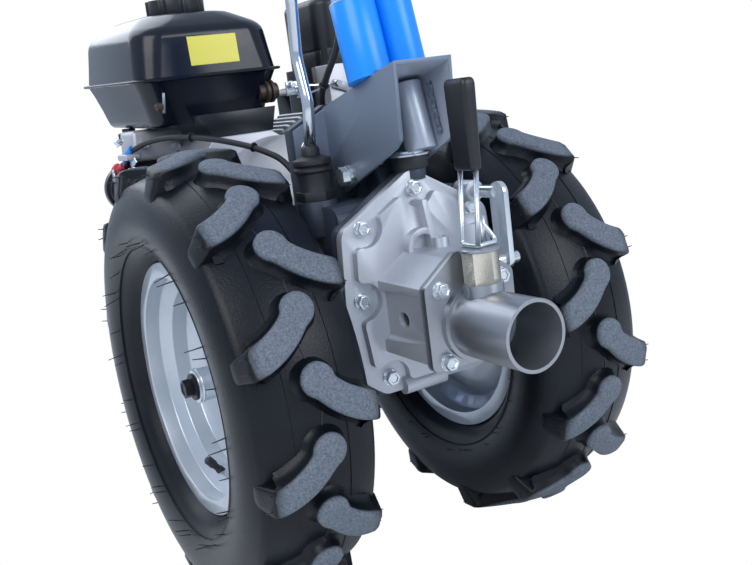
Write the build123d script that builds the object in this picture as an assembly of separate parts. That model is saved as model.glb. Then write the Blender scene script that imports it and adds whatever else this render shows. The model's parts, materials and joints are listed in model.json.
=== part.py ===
from build123d import *
from math import cos, radians, sin, sqrt, tan
import os

os.makedirs("parts", exist_ok=True)

# Every piece is drawn about the middle of the wheel axle: X forward, Y left, Z up.
# The finished pieces are moved so that the origin lies on the ground under the machine's middle.
TYRE_R = 252.5
AXLE_TO_MIDDLE = 136.66

# Wheels
TRACK_HALF = 170.0
CARCASS_R = 235.0
SECTION_HALF = 69.0
SHOULDER_R = 224.0
SHOULDER_HALF = 58.0
BEAD_R = 127.0
RIM_EDGE_R = 140.0
RIM_HALF = 45.0
RIM_WALL = 3.5
LUGS_PER_SIDE = 12
LUG_WIDTH = 25.0
LUG_HEAD_R = 14.5
LUG_ANGLE_LEFT = 123.4
LUG_ANGLE_RIGHT = 178.0
HUB_R = 18.5
HUB_END = 34.0
SHAFT_R = 14.0
SHAFT_HEX = 22.0
RUN_CLEARANCE = 0.05

# Gearbox and its rear cover
COVER_FACE = -165.0
COVER_JOINT = -154.0
HOUSING_FLANGE = 12.0
HOUSING_HALF = 82.0
HOUSING_TOP = 180.0
HOUSING_BOTTOM = -20.0
FINAL_DRIVE_R = 66.0
WALL_FACE = -58.0
BOLT_PLACES = ((0, 189), (65, 159), (75, 88), (54, 4))

# Rear implement socket
SOCKET_Z = 62.0
SOCKET_R = 33.5
SOCKET_BORE = 30.0
SOCKET_FLANGE = -245.0
SOCKET_MOUTH = -335.0
DOG_TIP = -270.0
COLLAR_R = 37.5
LAND_HEIGHT = 9.0
LAND_NOTCH_R = 19.0
RIB_TOP = -184.0
NUT_X = -266.0
NUT_FLATS = 30.0
WIRE_R = 2.4

# Handlebar bracket and column, all leaning forward by the same angle
LEAN = 13.0
BRACKET_HALF = 33.0
PLATE = 4.0
BUFFER_PLACE = (-152.0, -8.0)
BUFFER_FOOT = 207.0
COLUMN_FOOT = (-148.0, 298.0)
COLUMN_TUBE_R = 21.0
INNER_TUBE_R = 19.5
SLEEVE_R = 22.5
SLEEVE_LENGTH = 78.0
COLUMN_LENGTH = 172.0
BAR_R = 14.0
GRIP_R = 17.0
JOINT_BOLT_R = 8.0
HEAD_HALF = 42.0
HEAD_HEIGHT = 46.0
EYE_PLATE = 8.0

# Gear lever
LEVER_ROUTE = [
    (-94, 72, 232),
    (-104, 72, 284),
    (-93, 72, 330),
    (-104, 74, 392),
    (-122, 98, 450),
    (-190, 104, 620),
]
LEVER_R = 6.0
KNOB_R = 19.0
KNOB_FOOT = 16.0

# Cables that the machine holds all the way
CABLE_R = 3.5
STARTER_CABLE = [
    (298, 152, 229), (284, 150, 248), (240, 140, 260), (186, 128, 265), (134, 113, 262),
    (84, 94, 254), (38, 76, 243), (2, 61, 228), (-16, 54, 208), (-22, 50, 190),
]
CONTROL_CABLE = [
    (-84, 22, 462), (-97, 23, 412), (-106, 22, 366), (-97, 27, 334), (-74, 31, 308),
    (-50, 28, 290), (-34, 19, 266), (-29, 14, 240), (-28, 12, 212),
]

# Engine
CRANK_Z = 165.0
FAN_Z = 174.0
ENGINE_REAR = 150.0
BELL_R = 84.0
CASE_FRONT = 330.0
CASE_BOTTOM = 77.0
CASE_TOP = 286.0
STARTER_Y = 141.0
STARTER_Z = 200.0
CYLINDER_X = 250.0
CYLINDER_LEAN = 65.0
TANK_MIDDLE = (308.0, 56.0)
TANK_PITCH = 2.5
TANK_SEAT = 256.0
AIR_CLEANER = (242.0, -156.0)

# Stand and guard
PIVOT_X = 404.0
PIVOT_Z = 24.0
PIVOT_R = 6.0
LEG_R = 8.0
GUARD_FRONT = 556.0
GUARD_HALF = 70.0
GUARD_R = 12.5


def write(shape, node):
    """Move a finished piece from the axle's middle to the machine's origin and save it."""
    if isinstance(shape, list):
        shape = Compound(children=shape)
    placed = Pos(AXLE_TO_MIDDLE, 0, TYRE_R) * shape
    export_step(placed, os.path.join("parts", node + ".step"))


def across(profile, half_width, middle=0.0):
    """Extrude an outline drawn as (x, z) evenly to both sides of y = middle."""
    face = Plane.XZ.offset(-middle) * profile
    return extrude(face, half_width, both=True)


def from_rear(profile, x_front, x_rear):
    """Extrude an outline drawn as (y, z) along X."""
    face = Plane.YZ.offset(x_rear) * profile
    return extrude(face, x_front - x_rear)


def rod(start, end, radius):
    """A round bar between two points."""
    start, end = Vector(start), Vector(end)
    plane = Plane(origin=start, z_dir=end - start)
    return extrude(plane * Circle(radius), (end - start).length)


def bent_tube(points, radii, radius):
    """A tube along straight runs joined by tangent arcs."""
    path = FilletPolyline(*points, radius=radii)
    start = Plane(origin=path @ 0, z_dir=path % 0)
    return sweep(start * Circle(radius), path=path)


def bore_y(x, z, radius, y_from, y_to):
    """A round cutter along Y."""
    return rod((x, y_from, z), (x, y_to, z), radius)


def corner_radii(route):
    """Arc radius at each corner of a cable's route: as large as its two runs allow."""
    radii = []
    for before, corner, after in zip(route, route[1:], route[2:]):
        run_in, run_out = Vector(corner) - Vector(before), Vector(after) - Vector(corner)
        half_turn = radians(run_in.get_angle(run_out) / 2)
        radii.append(0.45 * min(run_in.length, run_out.length) / tan(half_turn))
    return radii


def cable(route, node):
    """A cable along its route; its radii are printed."""
    radii = corner_radii(route)
    print(node, "radii", [round(radius) for radius in radii])
    return bent_tube(route, radii, CABLE_R)


def tyre(lug_angle):
    """Agricultural tyre: a hollow carcass and two staggered rows of curved lugs."""
    edge = RIM_HALF - RIM_WALL
    section = [
        Line((BEAD_R, 30), (BEAD_R, edge)),
        Line((BEAD_R, edge), (RIM_EDGE_R, edge)),
        ThreePointArc((RIM_EDGE_R, edge), (184, SECTION_HALF), (SHOULDER_R, SHOULDER_HALF)),
        ThreePointArc((SHOULDER_R, SHOULDER_HALF), (CARCASS_R, 0), (SHOULDER_R, -SHOULDER_HALF)),
        ThreePointArc((SHOULDER_R, -SHOULDER_HALF), (184, -SECTION_HALF), (RIM_EDGE_R, -edge)),
        Line((RIM_EDGE_R, -edge), (BEAD_R, -edge)),
        Line((BEAD_R, -edge), (BEAD_R, -30)),
        ThreePointArc((BEAD_R, -30), (CARCASS_R - 9, 0), (BEAD_R, 30)),
    ]
    carcass = revolve(make_face(section), Axis.Y)
    lug_section = [
        ThreePointArc((246, 56), (TYRE_R, 0), (246, -56)),
        Line((246, -56), (206, -68)),
        Line((206, -68), (206, -60)),
        ThreePointArc((206, -60), (CARCASS_R - 5, 0), (206, 60)),
        Line((206, 60), (206, 68)),
        Line((206, 68), (246, 56)),
    ]
    lug_band = revolve(make_face(lug_section), Axis.Y)
    middle_line = ThreePointArc((0, 0), (29, 28), (74, 42))
    outline = trace(middle_line, LUG_WIDTH) + Circle(LUG_HEAD_R)
    lug = extrude(Plane(origin=(195, 0, 0), x_dir=(0, 1, 0), z_dir=(1, 0, 0)) * outline, 70)
    other = mirror(lug, Plane.XZ)
    pitch = 360 / LUGS_PER_SIDE
    turned = []
    for step in range(LUGS_PER_SIDE):
        turned.append(Rot(0, -(lug_angle + step * pitch), 0) * lug)
        turned.append(Rot(0, -(lug_angle + (step + 0.5) * pitch), 0) * other)
    lugs = [piece & lug_band for piece in turned]
    return carcass.fuse(*[solid for piece in lugs for solid in piece.solids()])


def rim():
    """Deep-dished pressed rim with rolled edges, bead seats and a domed disc."""
    outside = [
        (RIM_EDGE_R, RIM_HALF),
        (RIM_EDGE_R, RIM_HALF - RIM_WALL),
        (BEAD_R, RIM_HALF - RIM_WALL),
        (BEAD_R, 26),
        (112, 16),
        (112, -16),
        (BEAD_R, -26),
        (BEAD_R, -RIM_HALF + RIM_WALL),
        (RIM_EDGE_R, -RIM_HALF + RIM_WALL),
        (RIM_EDGE_R, -RIM_HALF),
        (BEAD_R - RIM_WALL, -RIM_HALF),
        (BEAD_R - RIM_WALL, -28),
        (112 - RIM_WALL, -18),
        (112 - RIM_WALL, -6),
        (100, -14),
        (86, -19),
        (58, -19),
        (48, -14),
        (HUB_R, -14),
        (HUB_R, -10),
        (50, -10),
        (60, -15),
        (84, -15),
        (98, -10),
        (112 - RIM_WALL, 0),
        (112 - RIM_WALL, 18),
        (BEAD_R - RIM_WALL, 28),
        (BEAD_R - RIM_WALL, RIM_HALF),
    ]
    return revolve(make_face(Polyline(*outside, close=True)), Axis.Y)


def hub():
    """Tube that carries the disc, with a mounting collar behind it and a hexagonal bore."""
    tube = rod((0, -56, 0), (0, HUB_END, 0), HUB_R)
    collar = rod((0, -24, 0), (0, -14, 0), 40) - rod((0, -24, 0), (0, -14, 0), HUB_R)
    bore = extrude(Plane.XZ.offset(60) * RegularPolygon(SHAFT_HEX / 2, 6, major_radius=False), -120)
    return tube + collar - bore


def axle_shaft():
    """Round in its housing, hexagonal through the hub."""
    journal = rod((0, -98, 0), (0, -57, 0), SHAFT_R)
    hexagon = extrude(Plane.XZ.offset(57) * RegularPolygon(SHAFT_HEX / 2, 6, major_radius=False), -57 - HUB_END + 2)
    return journal + hexagon


def on_side(shape, side):
    """Place a wheel piece, drawn with its outer face to +Y, on the left (1) or right (-1)."""
    turned = shape if side > 0 else mirror(shape, Plane.XZ)
    return Pos(0, side * TRACK_HALF, 0) * turned


def cover_outline(grow=0.0):
    """Rear outline of the casting: a house shape with round bolt corners."""
    points = [(0, 189), (71, 148), (75, 88), (67, 14), (54, 4)]
    loop = points + [(-y, z) for y, z in reversed(points[1:])]
    return offset(make_face(Polyline(*loop, close=True)), 17 + grow)


def lean_point(forward, up):
    """A place (x, z) measured from the column's foot along the leaning web and upright to it."""
    turn = radians(LEAN)
    x = COLUMN_FOOT[0] + forward * cos(turn) + up * sin(turn)
    z = COLUMN_FOOT[1] - forward * sin(turn) + up * cos(turn)
    return (x, z)


def web_height(x):
    """Height of the web's upper face at x."""
    return COLUMN_FOOT[1] - (x - COLUMN_FOOT[0]) * tan(radians(LEAN))


def bracket_flange_outline(grow=0.0):
    """Outline of the bracket's front flanges, with their sloping upper corners."""
    top = web_height(WALL_FACE)
    points = [(-72, 222), (72, 222), (72, 257), (30, top), (-30, top), (-72, 257)]
    face = make_face(Polyline(*points, close=True))
    return offset(face, grow) if grow else face


def gearbox_housing():
    """Main casting: rear flange, gear case and the round final drive about the axle."""
    flange = from_rear(cover_outline(), COVER_JOINT + HOUSING_FLANGE, COVER_JOINT)
    side = make_face(
        Polyline(
            (-145, HOUSING_BOTTOM),
            (-20, -FINAL_DRIVE_R),
            (30, -FINAL_DRIVE_R + 10),
            (40, 80),
            (WALL_FACE + 12, HOUSING_TOP),
            (-145, HOUSING_TOP),
            close=True,
        )
    )
    case = across(side, HOUSING_HALF - 4)
    case = fillet(case.edges().filter_by(Axis.Y), 14)
    drive = rod((0, -HOUSING_HALF, 0), (0, HOUSING_HALF, 0), FINAL_DRIVE_R)
    wall = from_rear(bracket_flange_outline(3), WALL_FACE + 12, WALL_FACE)
    wall = wall + from_rear(Pos(0, 190) * Rectangle(150, 80), WALL_FACE + 12, WALL_FACE)
    arch = make_face(
        Polyline((-146, 170), (-146, 189), (-127, 211), (-100, 211), (-86, 198), (-80, 170), close=True)
    )
    lug = across(arch, 18) - across(offset(arch, -6), 5, 15)
    boss = rod((-94, 72, 150), (-94, 72, 186), 21)
    shape = flange + case + drive + wall + lug + boss
    seat = rod((*BUFFER_PLACE, 196), (*BUFFER_PLACE, BUFFER_FOOT), 16)
    shape = shape + seat - rear_cover()
    for side_sign in (1, -1):
        shape = shape - rod((0, side_sign * (HOUSING_HALF - 12), 0), (0, side_sign * (HOUSING_HALF + 1), 0), 33)
    return shape


def axle_housing(side):
    """Turned flange and tube that carries one axle shaft."""
    flange = rod((0, 70, 0), (0, 88, 0), 33) + rod((0, 82, 0), (0, 92, 0), 52)
    tube = rod((0, 88, 0), (0, 112, 0), 24)
    bore = rod((0, 60, 0), (0, 120, 0), SHAFT_R + RUN_CLEARANCE)
    shape = flange + tube - bore
    return shape if side > 0 else mirror(shape, Plane.XZ)


def cover_land():
    """Raised middle of the cover, notched round every bolt in soft curves."""
    land = offset(cover_outline(), -11)
    for y, z in BOLT_PLACES:
        land = land - Pos(y, z) * Circle(LAND_NOTCH_R) - Pos(-y, z) * Circle(LAND_NOTCH_R)
    middle = land.faces().sort_by(SortBy.AREA)[-1]
    softened = offset(offset(middle, -6), 6)
    return from_rear(softened, COVER_FACE, COVER_FACE - LAND_HEIGHT)


def cover_box():
    """Roofed box under the socket flange, its sides sunk between two ears."""
    sections = []
    for x, ridge, top, eave, half, low in ((-160, 27, 130, 108, 62, 36), (SOCKET_FLANGE + 9, 14, 126, 101, 47, 27)):
        points = [(ridge, top), (half, eave), (half, low), (-half, low), (-half, eave), (-ridge, top)]
        sections.append(Plane.YZ.offset(x) * make_face(Polyline(*points, close=True)))
    box = loft(sections)
    side = make_face(Polyline((-150, 52), (-176, 52), (-238, 46.5), (-238, 70), (-150, 70), close=True))
    sunk = fillet(extrude(Plane.XY.offset(47) * side, 50).edges().filter_by(Axis.X, tolerance=12), 5)
    box = box - sunk - mirror(sunk, Plane.XZ)
    return box - rod((-200, 43, 68), (-200, 60, 68), 8)


def cover_ribs():
    """Rib from the top bolt down to the roof, the curved rib beside it and a drilled boss."""
    straight = Polyline((3, 177), (-3, 177), (-11, 126), (-4, 126), close=True)
    ring = Pos(6, 131) * (Circle(19) - Circle(13)) & Pos(16, 140) * Rectangle(40, 60)
    ribs = from_rear(make_face(straight) + ring, COVER_FACE, RIB_TOP)
    boss = rod((-186, -12, 108), (-186, -12, 138), 8.5) - rod((-186, -12, 130), (-186, -12, 139), 5.5)
    return ribs + boss


def rear_cover():
    """Cast cover: flange, bolt bosses, raised land, ribs and the box that carries the socket."""
    plate = from_rear(cover_outline(), COVER_JOINT, COVER_FACE)
    lip = rod((COVER_FACE - 1, 40, -9), (COVER_FACE - 1, -10, -9), 9)
    rod_boss = rod((COVER_JOINT, -66, 175), (COVER_FACE - 14, -66, 175), 11)
    return plate + cover_land() + cover_ribs() + cover_box() + lip + rod_boss


def socket_flange():
    """Square bolted flange with a peaked top and the open tube that takes the implement."""
    outline = make_face(
        Polyline((-52, 22), (52, 22), (52, 104), (14, 132), (-14, 132), (-52, 104), close=True)
    )
    outline = fillet(outline.vertices(), 8)
    plate = from_rear(outline, SOCKET_FLANGE + 9, SOCKET_FLANGE)
    tube = rod((SOCKET_FLANGE, 0, SOCKET_Z), (SOCKET_MOUTH, 0, SOCKET_Z), SOCKET_R)
    collar = rod((SOCKET_FLANGE, 0, SOCKET_Z), (SOCKET_FLANGE - 7, 0, SOCKET_Z), COLLAR_R)
    boss = rod((NUT_X, 0, SOCKET_Z + 20), (NUT_X, 0, 103), 19)
    seat = rod((DOG_TIP - 1, 0, SOCKET_Z), (SOCKET_MOUTH - 1, 0, SOCKET_Z), SOCKET_BORE)
    chamber = rod((SOCKET_FLANGE + 10, 0, SOCKET_Z), (DOG_TIP - 2, 0, SOCKET_Z), SOCKET_BORE - 6)
    return plate + collar + tube + boss - seat - chamber


def drive_dog():
    """Toothed end of the rear drive shaft, deep inside the tube."""
    dog = rod((SOCKET_FLANGE + 9, 0, SOCKET_Z), (DOG_TIP + 8, 0, SOCKET_Z), 14)
    teeth = [
        Rot(turn, 0, 0) * Pos(DOG_TIP + 6, 9, 0) * Box(8, 8, 6)
        for turn in range(0, 360, 60)
    ]
    return dog + [Pos(0, 0, SOCKET_Z) * tooth for tooth in teeth]


def latch_nut():
    """Hexagonal guide of the latch pin, with its washer."""
    nut = Pos(NUT_X, 0, 103) * extrude(RegularPolygon(NUT_FLATS / 2, 6, major_radius=False), 30)
    washer = Pos(NUT_X, 0, 133) * extrude(Circle(18.5), 3)
    return nut + washer


def latch_wire():
    """Bent wire that pulls the latch pin: two legs, a cross run, and a hook back to the pin's head."""
    low = 136 + WIRE_R
    front, rear = NUT_X + 17, NUT_X - 7
    route = [(front, 0, 207), (front, 6.5, low), (rear, 6.5, low), (rear + 2, -17, low), (NUT_X + 6, -10, 157)]
    wire = bent_tube(route, [4, 4, 4], WIRE_R)
    rear_leg = rod((rear, 0, 207), (rear, 6.5, low), WIRE_R)
    pin_head = rod((NUT_X + 6, -10, 136), (NUT_X + 6, -10, 163), 3.5)
    return wire + rear_leg + pin_head


def latch_grip():
    """Flat moulded hand grip of the latch, wider towards its top."""
    low = Plane.XY.offset(207) * Pos(NUT_X + 4, 0) * RectangleRounded(30, 12, 3)
    high = Plane.XY.offset(289) * Pos(NUT_X + 4, 1) * RectangleRounded(33, 16, 4)
    return loft([low, high])


def selector_lever():
    """Shaft out of the cover and the flat strap with round ends that hangs from it, with its pin."""
    shaft = rod((COVER_FACE - 14, -66, 175), (-214, -66, 175), 6.5)
    ends = (Pos(-217.5, 174) * Circle(11.5)) + (Pos(-218, 108) * Circle(11))
    strap = across(make_hull(ends.edges()), 3, -66)
    pin = bore_y(-218, 107, 6.5, -80, -54)
    return shaft + strap + pin


def gear_lever():
    """Chromed lever with a double bend."""
    return bent_tube(LEVER_ROUTE, [40, 40, 60, 90], LEVER_R) - gear_boot()


def gear_boot():
    """Hexagonal collar and ribbed rubber boot at the lever's foot."""
    x, y = -94, 72
    collar = Pos(x, y, 186) * extrude(RegularPolygon(21, 6), 10)
    profile = [(0, 196), (17, 196), (17, 214), (20, 216), (20, 219), (17, 221), (20, 223), (20, 228), (9, 232), (0, 232)]
    boot = Pos(x, y, 0) * revolve(Plane.XZ * make_face(Polyline(*profile, close=True)), Axis.Z)
    return collar + boot


def gear_knob():
    """Ball screwed on the lever's end, with a flat foot and a blind hole for the rod."""
    before, end = Vector(*LEVER_ROUTE[-2]), Vector(*LEVER_ROUTE[-1])
    middle = 4
    foot = middle - KNOB_FOOT
    foot_r = sqrt(KNOB_R ** 2 - KNOB_FOOT ** 2)
    section = [
        Line((0, 0), (LEVER_R, 0)),
        Line((LEVER_R, 0), (LEVER_R, foot)),
        Line((LEVER_R, foot), (foot_r, foot)),
        ThreePointArc((foot_r, foot), (KNOB_R, middle), (0, middle + KNOB_R)),
        Line((0, middle + KNOB_R), (0, 0)),
    ]
    ball = revolve(Plane.XZ * make_face(section), Axis.Z)
    return Plane(origin=end, z_dir=end - before) * ball


def leaning(shape):
    """Turn a piece drawn upright at the column's foot to the column's lean."""
    return Pos(COLUMN_FOOT[0], 0, COLUMN_FOOT[1]) * Rot(0, LEAN, 0) * shape


def bracket():
    """Bent channel of plate: two cheeks, a web on top and two flanges to the gearbox wall."""
    rear, front = -209, WALL_FACE
    outside = [
        (rear, web_height(rear)),
        (-205, 239),
        (-194, 231),
        (-86, 187),
        (front, 216),
        (front, web_height(front)),
    ]
    drop = PLATE / cos(radians(LEAN))
    inside = [
        (rear - 10, web_height(rear - 10) - drop),
        (rear - 10, 150),
        (front - PLATE, 150),
        (front - PLATE, web_height(front - PLATE) - drop),
    ]
    solid = across(make_face(Polyline(*outside, close=True)), BRACKET_HALF)
    hollow = across(make_face(Polyline(*inside, close=True)), BRACKET_HALF - PLATE)
    flanges = from_rear(bracket_flange_outline(), WALL_FACE, WALL_FACE - PLATE)
    foot = Vector(*BUFFER_PLACE, BUFFER_FOOT + 17) + Vector(-16, -6, 0)
    top = foot + Vector(sin(radians(LEAN)), 0, cos(radians(LEAN))) * 68
    return (solid - hollow) + flanges + rod(foot, top, BRACKET_HALF - PLATE + foot.Y + 0.6)


def buffer():
    """Rubber block with a steel washer under the sleeve."""
    return rod((*BUFFER_PLACE, BUFFER_FOOT), (*BUFFER_PLACE, BUFFER_FOOT + 13), 19)


def lock_bolt():
    """Cross bolt of the bracket with its spacer."""
    spacer = rod((-106, BRACKET_HALF, 206), (-106, BRACKET_HALF + 8, 206), 11)
    head = extrude(Plane(origin=(-106, BRACKET_HALF + 8, 206), z_dir=(0, 1, 0)) * RegularPolygon(10, 6), 8)
    return spacer + head


def column():
    """Two upright tubes, the left one in a sleeve, under the head with the height joint's cross bore."""
    head = Pos(0, 0, COLUMN_LENGTH) * extrude(RectangleRounded(40, 2 * HEAD_HALF, 8), HEAD_HEIGHT)
    right = Pos(0, -COLUMN_TUBE_R - 0.5, 0) * extrude(Circle(COLUMN_TUBE_R), COLUMN_LENGTH)
    left = extrude(Circle(SLEEVE_R), SLEEVE_LENGTH) + extrude(Circle(INNER_TUBE_R), COLUMN_LENGTH)
    block = head + right + Pos(0, SLEEVE_R, 0) * left
    joint = COLUMN_LENGTH + HEAD_HEIGHT / 2
    bore = rod((0, -60, joint), (0, 60, joint), JOINT_BOLT_R + RUN_CLEARANCE)
    return leaning(block - bore)


def hinge_point():
    """Middle of the height joint, as (x, z)."""
    return lean_point(0, COLUMN_LENGTH + HEAD_HEIGHT / 2)


def bar_route(sign):
    """Corners of one steering bar, from the height joint back to the hand."""
    x, z = hinge_point()
    return [
        (x - 22, sign * 62, z + 9),
        (x - 150, sign * 68, z + 62),
        (x - 420, sign * 236, z + 176),
        (x - 560, sign * 262, z + 222),
        (x - 720, sign * 262, z + 222),
    ]


def handlebar(sign):
    """One steering bar, welded to the eye plate that turns on the height joint."""
    x, z = hinge_point()
    bar = bent_tube(bar_route(sign), [120, 120, 90], BAR_R)
    ends = (Pos(x, z) * Circle(21)) + (Pos(x - 66, z + 27) * Circle(13))
    plate = across(make_hull(ends.edges()), EYE_PLATE / 2, sign * (HEAD_HALF + 1 + EYE_PLATE / 2))
    return bar + plate - bore_y(x, z, JOINT_BOLT_R, -80, 80)


def joint_bolt():
    """Through bolt of the height joint with its star knob and its nut."""
    x, z = hinge_point()
    outer = HEAD_HALF + 1 + EYE_PLATE
    bolt = bore_y(x, z, JOINT_BOLT_R, -outer, outer)
    return bolt + bore_y(x, z, 18, outer, outer + 9) + bore_y(x, z, 13, -outer - 8, -outer)


def cross_tube():
    """Tube between the two bars."""
    route = bar_route(1)
    middle = (Vector(*route[1]) + Vector(*route[2])) / 2
    tube = bore_y(middle.X, middle.Z, 10, -middle.Y, middle.Y)
    return tube - handlebar(1) - handlebar(-1)


def along_grip(sign, back):
    """A point on the bar's last straight run, measured back from its end."""
    before, end = Vector(*bar_route(sign)[-2]), Vector(*bar_route(sign)[-1])
    return end + (before - end).normalized() * back


def grip(sign):
    """Moulded rubber sleeve over the bar's end."""
    outside = rod(along_grip(sign, 122), along_grip(sign, -5), GRIP_R)
    return outside - rod(along_grip(sign, 130), along_grip(sign, 0), BAR_R)


def hand_lever(sign):
    """Lever under the grip, with its clamp on the bar."""
    start, end = along_grip(sign, 144), along_grip(sign, 126)
    clamp = rod(start, end, BAR_R + 5) - rod(start, end, BAR_R)
    low = along_grip(sign, 135) - Vector(0, 0, BAR_R + 2)
    points = [tuple(low), tuple(low + Vector(-30, 0, -30)), tuple(low + Vector(-140, 0, -34))]
    return clamp + (bent_tube(points, 14, 5) - handlebar(sign))


def bell_housing():
    """Clutch bell between the gearbox and the engine."""
    cone = loft(
        [
            Plane.YZ.offset(WALL_FACE + 12) * Pos(0, 150) * Circle(64),
            Plane.YZ.offset(90) * Pos(0, CRANK_Z) * Circle(BELL_R),
        ]
    )
    drum = rod((90, 0, CRANK_Z), (ENGINE_REAR, 0, CRANK_Z), BELL_R)
    return cone + drum - gearbox_housing()


def crankcase():
    """Engine block: sump and crank chamber under the tank."""
    outline = Polyline(
        (-92, CASE_BOTTOM), (92, CASE_BOTTOM), (92, 240), (78, TANK_SEAT), (0, TANK_SEAT),
        (-14, 246), (-50, 232), (-92, 150), close=True,
    )
    return from_rear(make_face(outline), CASE_FRONT, ENGINE_REAR)


def tank_seat():
    """Black bracket between the crankcase and the tank."""
    outline = Polyline((-8, TANK_SEAT), (74, TANK_SEAT), (90, CASE_TOP), (-16, CASE_TOP), close=True)
    return from_rear(make_face(outline), CASE_FRONT - 6, ENGINE_REAR + 12)


def on_cylinder(shape):
    """Place a piece drawn along +Z on the cylinder's leaning axis."""
    return Pos(CYLINDER_X, 0, CRANK_Z) * Rot(CYLINDER_LEAN, 0, 0) * shape


def cylinder():
    """Barrel with its cooling fins."""
    barrel = extrude(Circle(40), 126)
    fin = Pos(0, 8) * RectangleRounded(104, 110, 14)
    fins = [Pos(0, 0, 62 + 10.5 * step) * extrude(fin, 4) for step in range(6)]
    whole = on_cylinder(barrel + fins) - crankcase()
    return whole.solids().sort_by(SortBy.VOLUME)[-1]


def cylinder_head():
    """Finned head with the valve cover."""
    block = Pos(0, 4, 126) * extrude(RectangleRounded(100, 100, 10), 20)
    cover = Pos(0, 0, 146) * extrude(RectangleRounded(76, 76, 14), 18)
    return on_cylinder(block + cover)


def carburettor():
    """Body beside the head with the elbow up to the air cleaner."""
    body = Pos(CYLINDER_X - 52 - 16, -122, 266) * Box(36, 44, 128)
    return body - cylinder_head() - cylinder()


def fan_cover():
    """Round pressed cover of the cooling fan."""
    ring = Pos(10, FAN_Z) * Circle(104)
    starter_tab = Pos(STARTER_Y, STARTER_Z) * Circle(34)
    outline = ring + make_hull((ring + starter_tab).edges())
    back = from_rear(outline, CASE_FRONT + 12, CASE_FRONT)
    return back + rod((CASE_FRONT, 10, FAN_Z), (CASE_FRONT + 70, 10, FAN_Z), 104)


def recoil():
    """Pull starter with a ring of vent slots and a raised middle."""
    front = CASE_FRONT + 104
    shell = rod((CASE_FRONT + 70, 10, FAN_Z), (front, 10, FAN_Z), 84)
    shell = chamfer(shell.faces().sort_by(Axis.X)[-1].edges(), 8)
    slot = Pos(front, 0, 52) * Box(12, 9, 30)
    for step in range(16):
        shell = shell - Pos(0, 10, FAN_Z) * Rot(step * 360 / 16, 0, 0) * slot
    return shell + rod((front, 10, FAN_Z), (front + 4, 10, FAN_Z), 26)


def on_tank(shape):
    """Place a piece drawn about the tank's middle at the crankcase top, at the tank's slight pitch."""
    rear = TANK_MIDDLE[0] - 133
    return Pos(rear, TANK_MIDDLE[1], CASE_TOP + 46) * Rot(0, -TANK_PITCH, 0) * Pos(133, 0, -46) * shape


def fuel_tank():
    """Pressed tank in two halves with a seam flange and a sloping top round the filler."""
    sections = {
        "low": [(-12, 238, 156, 30), (10, 246, 166, 30), (46, 266, 190, 30)],
        "wall": [(50, 266, 190, 30), (106, 254, 178, 36)],
        "top": [(106, 254, 178, 36), (128, 176, 112, 40)],
    }
    shape = Pos(0, 0, 46) * extrude(RectangleRounded(280, 204, 34), 4)
    for rings in sections.values():
        faces = [Plane.XY.offset(up) * RectangleRounded(x, y, r) for up, x, y, r in rings]
        shape = shape + loft(faces, ruled=True)
    return on_tank(shape) - tank_seat() - crankcase()


def fuel_cap():
    """Screw cap with finger notches."""
    cap = Cylinder(38, 20, align=(Align.CENTER, Align.CENTER, Align.MIN))
    for step in range(8):
        cap = cap - Rot(0, 0, step * 45) * Pos(41, 0, 0) * Cylinder(6, 60)
    return on_tank(Pos(-30, 0, 128) * cap)


def air_cleaner():
    """Filter housing above the carburettor."""
    x, y = AIR_CLEANER
    body = fillet((Pos(x, y, 375) * Box(116, 100, 90)).edges().filter_by(Axis.Z), 24)
    seam = Pos(x, y, 352) * (Box(124, 108, 3) - Box(108, 92, 3))
    return fillet(body.faces().sort_by(Axis.Z)[-1].edges(), 10) - seam


def cylinder_cowl():
    """Black cowl over the head, below the filter housing."""
    body = fillet((Pos(244, -132, 296) * Box(88, 75, 68)).edges().filter_by(Axis.Z), 12)
    body = body - cylinder_head() - cylinder()
    return body.solids().sort_by(SortBy.VOLUME)[-1]


def silencer():
    """Silencer box ahead of the head, on a short pipe."""
    body = fillet((Pos(366, -168, 262) * Box(96, 70, 96)).edges(), 12)
    for step in range(5):
        body = body - Pos(366, -203, 234 + 14 * step) * Box(60, 8, 6)
    pipe = rod((CYLINDER_X + 48, -134, 236), (324, -150, 246), 14)
    return body + (pipe - body) - cylinder_head() - cylinder()


def starter_motor():
    """Electric starter beside the crankcase, with the terminal that takes the cable."""
    barrel = rod((215, STARTER_Y, STARTER_Z), (CASE_FRONT, STARTER_Y, STARTER_Z), 28.5)
    return barrel + rod((298, 152, 205), (298, 152, 228), 9)


def front_guard():
    """Tube loop ahead of the engine on two arms under the crankcase."""
    low = CASE_BOTTOM - 6 - GUARD_R + 1
    inner = GUARD_HALF
    front = GUARD_FRONT - GUARD_R
    points = [
        (196, inner, low), (440, inner, low), (front, inner, 230),
        (front, -inner, 230), (440, -inner, low), (196, -inner, low),
    ]
    loop = bent_tube(points, [80, 45, 45, 80], GUARD_R)
    plate = Pos(260, 0, CASE_BOTTOM - 3) * Box(140, 2 * inner + 20, 6)
    cross = bore_y(PIVOT_X, low, 10, -inner, inner)
    shape = loop + plate + cross
    for sign in (1, -1):
        ear = Pos(PIVOT_X, sign * 36, (low + PIVOT_Z - 12) / 2) * Box(24, 8, low - PIVOT_Z + 12)
        shape = shape + ear
    return shape - bore_y(PIVOT_X, PIVOT_Z, PIVOT_R + RUN_CLEARANCE, -60, 60)


def parking_stand():
    """Folding leg: cross shaft, two legs and a foot bar."""
    foot_x, foot_z = PIVOT_X - 34, -TYRE_R + LEG_R
    shaft = bore_y(PIVOT_X, PIVOT_Z, PIVOT_R, -58, 58)
    points = [
        (PIVOT_X, 54, PIVOT_Z), (foot_x, 92, foot_z), (foot_x, -92, foot_z), (PIVOT_X, -54, PIVOT_Z),
    ]
    return shaft + bent_tube(points, 24, LEG_R)


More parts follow.
